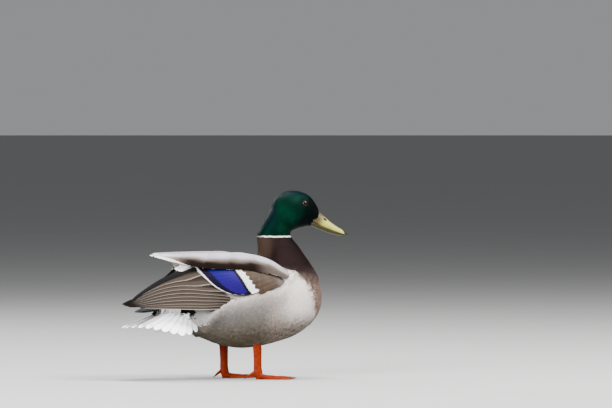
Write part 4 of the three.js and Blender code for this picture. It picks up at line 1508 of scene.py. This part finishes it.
def long_covert(side, far):
    """A black covert that lies back over the middle of the tail, rolled down on its own side."""
    roll = math.radians(58) * np.sign(side)

    def place(flat, lift):
        s, over = flat[..., 0], flat[..., 1]
        x = -96 - far * s
        y = side * (2.5 + 2.5 * s) + over * math.cos(roll) + lift * math.sin(roll)
        z = 114 - 0.17 * far * s + lift * math.cos(roll) - over * math.sin(roll)
        return np.stack([x, y, z], -1)

    return quill(place, line((0, -6.0), (0.6, -5.5), (1, -2.0)), line((0, 6.0), (0.6, 5.5), (1, 2.0)),
                 tilt=0, thick=0.4, blunt=0.35, narrow=0.9)


curls = [curl(1, 9, 3), curl(-1, 8, 4), curl(1, 6.5, -1)]
curls += [long_covert(side, far) for side, far in ((-1.7, 62), (1.7, 58), (-1.1, 72), (1.1, 68))]
lay_quills("tail_curls", curls, soot_dye, gloss_finish)

# %% [markdown]
# The beds under the shoulders and the arm of the wing are dyed too, so that no pale line shows
# where two vanes part. Those under the primaries and the tail have done their work, which was to
# show the coat where not to grow, and they go, so that the quills are seen from below as well.

# %% The beds' finish
bed_finish = plumage_finish("feather_beds", 0.1, 0, 0.8)
for key, made in beds.items():
    if key == "tail" or "primaries" in key:
        bpy.data.objects.remove(made)
        continue
    p = points_of(made)
    # toward the rear of the arm the bed is dark, as painted shade where the vanes part
    arm = mix(0 * p + DYES["painted flight shade"], DYES["covert brown"], fade(-26, -8, p[:, 0]))
    base = DYES["shoulder grey"] if "tertials" in key else arm
    keep_on_points(made, "tint", mix(0 * p + base, DYES["flank grey"], fade(44, 54, p[:, 0])))
    keep_on_points(made, "vane", 0 * p)
    made.data.materials.append(bed_finish)
    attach(made, "root")
    "tertial_feathers" if "tertials" in key else "wing_feathers"

# %% [markdown]
# The bill is two waxy shells. They are lofts like the head's, but finer, so that the nostrils can
# be pressed into the sides and the horny nail can stand up a little at the tip.


# %% The bill
def shell(form, rings=90, sides=56):
    points, faces = body(**form, rings=rings, sides=sides)
    return points, faces


upper_bill_form = dict(
    axis="x", start_at=98, end_at=165, full=0.16, square=2.1, start=3, end=10,
    low=through((98, 240), (108, 234.5), (118, 229.6), (128, 225.4), (138, 221.6), (148, 218),
                (158, 214.8), (165, 211.6)),
    high=through((98, 268), (112, 256.5), (121.5, 248.8), (130, 241.2), (138, 234.2), (148, 227),
                 (157, 221.6), (165, 216.6)),
    half=through((98, 12), (112, 10.4), (122, 9.6), (132, 9.4), (142, 10.4), (152, 11.5), (165, 11.8)),
)
lower_bill_form = dict(
    upper_bill_form, end_at=160.5, full=0.8,
    low=through((98, 232), (108, 228.6), (118, 224.4), (128, 220.2), (138, 216.6), (148, 214),
                (160.5, 211.6)),
    high=through((98, 243), (108, 237), (118, 232), (128, 227.6), (138, 223.6), (148, 220.2), (160.5, 215.4)),
    half=through((98, 10), (118, 8.6), (132, 8.4), (150, 9.8), (160.5, 9.8)),
)
add_dyes({
    "bill yellow": (0.228, 0.236, 0.0420),
    "bill olive": (0.128, 0.109, 0.0448),
    "bill brown and gape shade": (0.0288, 0.0179, 0.0090),
    "nail black and bill shade": (0.0026, 0.0022, 0.0019),
    "leg orange": (0.130, 0.0100, 0.0004),
    "web orange": (0.240, 0.0290, 0.0040),
    "claw brown": (0.0096, 0.0058, 0.0045),
})
NOSTRIL = (130.0, 237.3)
SLOPE = math.radians(-39)


def nostril_depth(p):
    """1 at the middle of a nostril and 0 away from it: an oval that slopes with the bill."""
    x, z = p[:, 0] - NOSTRIL[0], p[:, 2] - NOSTRIL[1]
    along = x * math.cos(SLOPE) + z * math.sin(SLOPE)
    across = z * math.cos(SLOPE) - x * math.sin(SLOPE)
    return fade(1.25, 0.6, np.sqrt((along / 3.1) ** 2 + (across / 1.6) ** 2)) * (np.abs(p[:, 1]) > 2)


def bill_dye(p, upper):
    x, y, z = p.T
    top = upper_bill_form["high"](x)
    olive = 0.55 * fade(7, 0, top - z) * (np.abs(y) < 6) + 0.25 * mottle(p, 16, 6)
    colour = mix(DYES["bill yellow"], DYES["bill olive"], olive)
    from_face = (x - 116.5) * 0.86 - (z - 240.5) * 0.51
    colour = mix(colour, DYES["bill olive"] * 0.6, 0.9 * fade(17, 6, from_face))
    colour = mix(colour, DYES["bill brown and gape shade"], 0.7 * fade(11, 4, from_face))
    # a painted line of shade along the gape, under the upper bill's edge
    edge = upper_bill_form["low"](x)
    colour = mix(colour, DYES["bill brown and gape shade"], 0.5 * fade(1.2, 0.1, np.abs(z - edge)))
    if not upper:
        # the lower bill's sides near black: painted shade under the upper bill
        colour = mix(DYES["bill olive"], DYES["nail black and bill shade"], 0.75 * fade(1.5, 5.0, np.abs(y)))
    nail = fade(154.4, 155.8, x - 0.025 * y**2)
    colour = mix(colour, DYES["nail black and bill shade"], nail * (0.95 if upper else 0.8))
    # the nostrils painted black: painted shade in their holes
    return mix(colour, DYES["nail black and bill shade"], fade(0, 0.5, nostril_depth(p))) if upper else colour


def waxy_finish(name, roughness, fine, bumpy, gloss=0.3):
    material, start, plug = new_finish(name, Roughness=roughness, Specular_IOR_Level=gloss)
    tint = start.kept("tint", 0)
    place = start.place()
    spots = place.noise(fine, 4.0)
    shade = spots.between(0.3, 0.7, 0.88, 1.08)
    plug(Base_Color=start.node("ShaderNodeVectorMath", {"operation": "SCALE"}, {0: tint, "Scale": shade}))
    plug(Normal=start.node("ShaderNodeBump", {}, {"Height": spots, "Strength": bumpy, "Distance": 0.0004}))
    return material


bill_finish = waxy_finish("waxy_bill", 0.42, 420.0, 0.25, gloss=0.08)
for name, form, node in (("upper_bill", upper_bill_form, "bill_upper"),
                         ("lower_bill", lower_bill_form, "bill_lower")):
    points, faces = shell(form)
    if name == "upper_bill":
        dent = nostril_depth(points)
        rim = np.clip(4 * dent * (1 - dent), 0, 1)
        points[:, 1] -= np.sign(points[:, 1]) * (1.7 * dent - 0.25 * rim)
        points[:, 2] += 0.35 * fade(156.5, 158.5, points[:, 0] - 0.06 * points[:, 1] ** 2)
    piece = new_piece(name, turned(points), faces)
    keep_on_points(piece, "tint", np.clip(bill_dye(points, name == "upper_bill"), 0, 1))
    piece.data.materials.append(bill_finish)
    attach(piece, "root")
    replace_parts(piece, node)
print("bill from", round(points[:, 0].min()), "to", round(points[:, 0].max()), "mm")

# %% [markdown]
# Along the inside of a duck's bill runs a comb of fine plates, the lamellae, and scales run down
# the front of each leg and along each toe. Both are one small shape repeated along a line, so one
# Geometry Nodes tree makes them: it takes a path, resamples it, and sets a rounded plate at each
# step, turned to follow the path.


# %% Plates along a path
def plates_tree():
    tree = bpy.data.node_groups.new("plates_along_path", "GeometryNodeTree")
    for name, kind in (("Path", "Geometry"), ("Count", "Int"), ("Size", "Vector"), ("Uneven", "Float"),
                       ("Seed", "Int"), ("Finish", "Material")):
        tree.interface.new_socket(name, in_out="INPUT", socket_type="NodeSocket" + kind)
    tree.interface.new_socket("Plates", in_out="OUTPUT", socket_type="NodeSocketGeometry")
    make, link = tree.nodes.new, tree.links.new
    given, made = make("NodeGroupInput"), make("NodeGroupOutput")
    curve, even = make("GeometryNodeMeshToCurve"), make("GeometryNodeResampleCurve")
    plate = make("GeometryNodeMeshUVSphere")
    plate.inputs["Segments"].default_value, plate.inputs["Rings"].default_value = 10, 6
    plate.inputs["Radius"].default_value = 0.5
    heading, turn = make("GeometryNodeInputTangent"), make("FunctionNodeAlignRotationToVector")
    wobble = make("FunctionNodeRandomValue")
    turn.axis = "X"
    size, place = make("ShaderNodeVectorMath"), make("GeometryNodeInstanceOnPoints")
    size.operation = "SCALE"
    least = make("ShaderNodeMath")
    least.operation = "SUBTRACT"
    least.inputs[0].default_value = 1.0
    real, dress = make("GeometryNodeRealizeInstances"), make("GeometryNodeSetMaterial")
    link(given.outputs["Path"], curve.inputs["Mesh"])
    link(curve.outputs["Curve"], even.inputs["Curve"])
    link(given.outputs["Count"], even.inputs["Count"])
    link(even.outputs["Curve"], place.inputs["Points"])
    link(plate.outputs["Mesh"], place.inputs["Instance"])
    link(heading.outputs["Tangent"], turn.inputs["Vector"])
    link(turn.outputs["Rotation"], place.inputs["Rotation"])
    link(given.outputs["Uneven"], least.inputs[1])
    link(least.outputs[0], wobble.inputs[2])
    wobble.inputs[3].default_value = 1.0
    link(given.outputs["Seed"], wobble.inputs["Seed"])
    link(given.outputs["Size"], size.inputs[0])
    link(wobble.outputs[1], size.inputs["Scale"])
    link(size.outputs[0], place.inputs["Scale"])
    link(place.outputs["Instances"], real.inputs["Geometry"])
    link(real.outputs["Geometry"], dress.inputs["Geometry"])
    link(given.outputs["Finish"], dress.inputs["Material"])
    link(dress.outputs["Geometry"], made.inputs[0])
    return tree


plates = plates_tree()


def plates_along(path, count, size, finish, seed=1, uneven=0.1):
    """Points, in millimetres, and faces of rounded plates along a path."""
    mesh = bpy.data.meshes.new("path")
    mesh.from_pydata(to_frame(path).tolist(), [(i, i + 1) for i in range(len(path) - 1)], [])
    size = [value / 1000 for value in size]
    return grown(plates, mesh, Count=count, Size=size, Uneven=uneven, Seed=seed, Finish=finish)


def piece_of_lumps(name, lumps, colour, finish, slot):
    piece = joined(name, *lumps)
    keep_on_points(piece, "tint", 0 * points_of(piece) + colour)
    return finished(piece, finish, slot)


combs = []
for hand in (-1, 1):
    x = np.linspace(122, 154, 30)
    half = upper_bill_form["half"](x)
    path = np.stack([x, hand * (half - 1.5), upper_bill_form["low"](x) + 0.1], 1)
    combs.append(plates_along(turned(path), 44, (0.4, 1.2, 1.9), bill_finish))
piece_of_lumps("bill_combs", combs, DYES["bill olive"] * 0.8, bill_finish, "bill")
print("bill combs have", 2 * 44, "plates")

# %% [markdown]
# The eye is a wet ball set in two lids. A painted ball looks blind, so it has a black pupil, a
# brown iris with fine spokes, a smooth glossy surface, and lids of thin skin that lie on it.

# %% The eyes
EYE = dict(x=98.0, side=11.8, z=261.5, radius=5.5)


def eye_frame(hand):
    """The eye's middle, the way it looks, and the ways forward and up across it."""
    middle = np.array([EYE["x"], hand * EYE["side"], EYE["z"]])
    look = np.array([0.22, hand * 1.0, 0.06])
    look /= np.linalg.norm(look)
    ahead = np.cross(look, (0, 0, 1)) * (-hand)
    ahead /= np.linalg.norm(ahead)
    return middle, look, ahead, np.cross(ahead, look) * (-hand)


def eye_finish():
    material, start, plug = new_finish("wet_eye", Roughness=0.10, Specular_IOR_Level=0.15)
    off, turn, _ = start.kept("vane", 1).split()
    spokes = start.vector(turn * 9.0, off * 3.0).noise(1.0, 3.0)
    iris = spokes.between(0.3, 0.7).blend((0.004, 0.0017, 0.0010, 1), (0.012, 0.0045, 0.0022, 1))
    rim = off.between(0.72, 0.86).blend(iris, (0.008, 0.005, 0.004, 1))
    plug(Base_Color=off.between(0.42, 0.50).blend((0.002, 0.002, 0.002, 1), rim))
    return material


wet = eye_finish()
lid_finish = waxy_finish("eyelid_skin", 0.7, 900.0, 0.3, gloss=0.04)
for name, hand in SIDES.items():
    middle, look, ahead, up = eye_frame(hand)
    polar, round_ = np.meshgrid(np.linspace(0.02, math.pi - 0.02, 40), around(48), indexing="ij")
    across = np.cos(round_)[..., None] * ahead + np.sin(round_)[..., None] * up
    ways = np.cos(polar)[..., None] * look + np.sin(polar)[..., None] * across
    points, faces = closed_tube(middle + EYE["radius"] * ways)
    ball = new_piece("eyeball_" + name, turned(points), faces)
    face_outward(ball)
    off = np.concatenate([[0], np.repeat(np.sin(np.minimum(polar[:, 0], math.pi / 2)), 48), [1]])
    turn = np.concatenate([[0], np.tile(round_[0], 40), [0]])
    keep_on_points(ball, "vane", np.stack([off, turn, 0 * off], 1))
    finished(ball, wet, "eye", "eye_" + name)
    lids = []
    angle, tube = around(64), around(10)
    count, sides = len(angle), len(tube)
    almond = 1 + 0.10 * np.cos(2 * angle)
    for reach, rise, thick in ((4.1, 3.7, 0.42), (4.55, 3.25, 0.55)):
        ring_middle = (middle + look * rise + (np.cos(angle) * reach * almond)[:, None] * ahead
                       + (np.sin(angle) * reach * (0.93 - 0.06 * np.sin(angle)))[:, None] * up)
        spoke = unit(ring_middle - (middle + look * rise))[:, None]
        loop = ring_middle[:, None] + thick * (
            np.cos(tube)[None, :, None] * spoke + np.sin(tube)[None, :, None] * look)
        corners = np.arange(count * sides).reshape(count, sides)
        onward = np.roll(corners, -1, axis=0)
        faces = np.stack([corners, np.roll(corners, -1, axis=1), np.roll(onward, -1, axis=1), onward], -1)
        lids.append((turned(loop.reshape(-1, 3)), [tuple(face) for face in faces.reshape(-1, 4).tolist()]))
    lid = joined("eyelids_" + name, *lids)
    face_outward(lid)
    below = fade(0.3, -0.6, np.tile(np.repeat(np.sin(angle), sides), 2))
    tint = mix(np.array((0.0015, 0.0018, 0.0018)), np.array((0.005, 0.0045, 0.004)), below)
    keep_on_points(lid, "tint", tint)
    finished(lid, lid_finish, "eye")
print("eyes set", 2 * EYE["side"], "mm apart")

# %% [markdown]
# A duck's leg is skin over bone: a thin scaly shank, three toes joined by webs, and a small hind
# toe. Tubes and a thin web are joined and wrapped by a voxel remesh, as the body's skin was, and
# the soles are pressed flat at the floor.


# %% The legs and feet
def toe_place(x, y, toe_out, side, out, length):
    heading = math.radians(out + toe_out) * side
    return x + length * math.cos(heading), y + length * math.sin(heading)


TOES = ((-21, 46), (2, 58), (25, 52))


def web_lump(outline, low, high):
    """A flat closed slab from an outline that can be fanned from its first point."""
    count = len(outline)
    flat = np.array(outline, float)
    points = np.concatenate([np.c_[flat, np.full(count, low)], np.c_[flat, np.full(count, high)]])
    faces = [(0, i + 1, i) for i in range(1, count - 1)]
    faces += [(count, count + i, count + i + 1) for i in range(1, count - 1)]
    faces += [(i, (i + 1) % count, count + (i + 1) % count, count + i) for i in range(count)]
    return points, faces


def leg_lumps(x, y, toe_out, side):
    made = [
        limb([(x - 1, y, 60, 3.8, 5.4), (x, y, 52, 4.6, 7), (x + 0.5, y, 44, 4.1, 6.4),
              (x + 1, y, 28, 3.8, 6), (x + 1, y, 16, 4.2, 6.2), (x + 2, y, 9, 4.7, 6.6)]),
        limb([(x + 1, y, 16, 4.2, 6.2), (x + 2, y, 9, 4.8, 6.8), (x + 3, y, 3, 4, 5), (x + 3, y, -1, 3, 4)]),
        limb([(x - 2, y, 12, 2.4, 2.6), (x - 9, y - side * 2, 7.5, 2, 2.2),
              (x - 15, y - side * 4, 3.4, 1.2, 1.4)], 12),
    ]
    edge = []
    for i, (out, length) in enumerate(TOES):
        def at(share):
            return toe_place(x, y, toe_out, side, out, length * share)

        knuckles = [(x + 2, y, 7, 3.9, 5)]
        for share, z, wide, deep in (
            (0.16, 4.6, 3.2, 3.6), (0.30, 3.4, 2.5, 2.9), (0.40, 3.3, 3.1, 3.1), (0.52, 2.8, 2.3, 2.5),
            (0.66, 2.7, 2.7, 2.7), (0.80, 2.1, 1.9, 2.1), (0.90, 2.0, 2.2, 2.2), (1.0, 1.2, 1.0, 1.1),
        ):
            knuckles.append((*at(share), z, wide, deep))
        made.append(limb(knuckles, 14))
        edge.append(at(0.9))
        if i + 1 < len(TOES):
            next_out, next_length = TOES[i + 1]
            for share in (0.2, 0.5, 0.8):
                sag = 1 - 0.19 * math.sin(math.pi * share)
                edge.append(toe_place(x, y, toe_out, side, out + (next_out - out) * share,
                                      (length + (next_length - length) * share) * 0.9 * sag))
    made.append(web_lump([(x + 3, y), *edge][:: 1 if side > 0 else -1], -0.4, 2.0))
    return made


leg_finish = waxy_finish("scaly_leg_skin", 0.5, 1500.0, 0.5, gloss=0.08)
claws = []
for name, (x, y, toe_out) in LEGS.items():
    side = SIDES[name]
    leg = joined("leg_" + name, *leg_lumps(x, y, toe_out, side))
    wrap(leg, 0.7, 5)
    points = points_of(leg)
    points[:, 2] = np.maximum(points[:, 2], 0)
    move_points(leg, points)
    web = fade(3.2, 2.0, points[:, 2]) * (points[:, 0] > x + 8)
    tint = mix(DYES["leg orange"], DYES["web orange"], web)
    tint = tint * (0.82 + 0.3 * mottle(points, 5, 9))[:, None]
    keep_on_points(leg, "tint", np.clip(tint, 0, 1))
    finished(leg, leg_finish, "leg_skin", "shank_" + name, "foot_" + name)
    shin = [(x + 6.7, y, 47), (x + 6.5, y, 30), (x + 6.7, y, 17), (x + 8.1, y, 9)]
    scutes = [plates_along(shin, 24, (2.5, 5.8, 1.1), leg_finish, 2)]
    for out, length in TOES:
        path = [(*toe_place(x, y, toe_out, side, out, length * share), z)
                for share, z in ((0.2, 6.9), (0.5, 4.9), (0.7, 4.6), (0.95, 3.0))]
        scutes.append(plates_along(path, 26, (2.2, 3.8, 1.0), leg_finish, 3))
        tip = np.array([*toe_place(x, y, toe_out, side, out, length * 0.97), 2.0])
        end = np.array([*toe_place(x, y, toe_out, side, out, length + 3.6), 0.6])
        arch = (tip + end) / 2 + (0, 0, 0.5)
        claws.append(limb([(*tip, 1.3, 1.3), (*arch, 0.95, 0.95), (*end, 0.25, 0.25)], 10))
    claws.append(limb([(x - 14, y - side * 3.7, 3.8, 1.0, 1.0), (x - 16.5, y - side * 4.4, 2.6, 0.7, 0.7),
                       (x - 18.2, y - side * 4.9, 1.0, 0.2, 0.2)], 10))
    piece_of_lumps("leg_scutes_" + name, scutes, DYES["leg orange"] * 1.08, leg_finish, "leg_skin")
    print("leg", name, "has", len(leg.data.polygons), "faces")
piece_of_lumps("claws", claws, DYES["claw brown"], waxy_finish("claw_horn", 0.35, 300.0, 0.1), "leg_skin")

# %% [markdown]
# The bird stands in a plain studio: a pale floor, a broad soft light from above and in front, and
# weaker ones that open up the shadows. Small hard lamps would put sharp sparks on every barb.


# %% Floor, lights and camera
def plain_finish(name, colour, roughness):
    material, start, plug = new_finish(name, Roughness=roughness)
    place = start.place()
    plug(Base_Color=place.noise(3.0).between(0.3, 0.7).blend(grey(colour * 0.97), grey(colour)))
    return material


angle = around(64)
disc = 60000 * np.stack([np.cos(angle), np.sin(angle), 0 * angle], 1)
floor = new_piece("floor", disc, [range(64)])
floor.data.materials.append(plain_finish("pale_floor", 0.26, 0.9))
floor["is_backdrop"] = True


def soft_light(name, place, size, power, colour=(1, 1, 1)):
    lamp = bpy.data.lights.new(name, "AREA")
    lamp.size, lamp.energy, lamp.color = size, power, colour
    light = bpy.data.objects.new(name, lamp)
    bpy.context.scene.collection.objects.link(light)
    light.location = place
    light.rotation_euler = (Vector((0, 0, 0.14)) - Vector(place)).to_track_quat("-Z", "Y").to_euler()


soft_light("key", (1.6, -1.5, 2.5), 1.2, 350, (1, 0.98, 0.95))
soft_light("rear fill", (-1.9, -1.7, 1.1), 1.1, 215)
soft_light("back", (-0.7, 2.1, 1.9), 1.8, 70)
soft_light("top", (0.0, 0.1, 2.6), 1.4, 180)
world = bpy.data.worlds.new("studio")
world.use_nodes = True
world.node_tree.nodes["Background"].inputs["Color"].default_value = (0.86, 0.88, 0.90, 1)
world.node_tree.nodes["Background"].inputs["Strength"].default_value = 0.34
bpy.context.scene.world = world

# %% [markdown]
# A long lens far away keeps the outline true. The camera stands a little behind the bird's right
# side, a little higher than its head, and looks down by one degree.

# %% The camera
AZIMUTH, ELEVATION, DISTANCE = math.radians(-20), math.radians(1), 9.0
WIDE = 0.9134  # how much of the scene the picture takes in, side to side, in metres
level = math.cos(ELEVATION)
back = Vector((math.sin(AZIMUTH) * level, -math.cos(AZIMUTH) * level, math.sin(ELEVATION)))
aim = Vector(to_frame((98.5 * math.cos(AZIMUTH), 98.5 * math.sin(AZIMUTH), 261.0)).tolist())
camera = bpy.data.objects.new("camera", bpy.data.cameras.new("camera"))
camera.data.lens = 36 * DISTANCE / WIDE
camera.data.clip_end = 100
camera.location = aim + back * DISTANCE
camera.rotation_euler = (-back).to_track_quat("-Z", "Y").to_euler()
bpy.context.scene.collection.objects.link(camera)
bpy.context.scene.camera = camera
print("camera", round(camera.data.lens), "mm lens")

# %% [markdown]
# Last, the finished model's box is measured against the frame's.

# %% Sizes, and the finish
whole_box = [list(corner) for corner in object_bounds()]
print("outside the frame's box by",
      [[round(1000 * (b - a), 1) for a, b in zip(f, w)] for f, w in zip(frame_box, whole_box)])
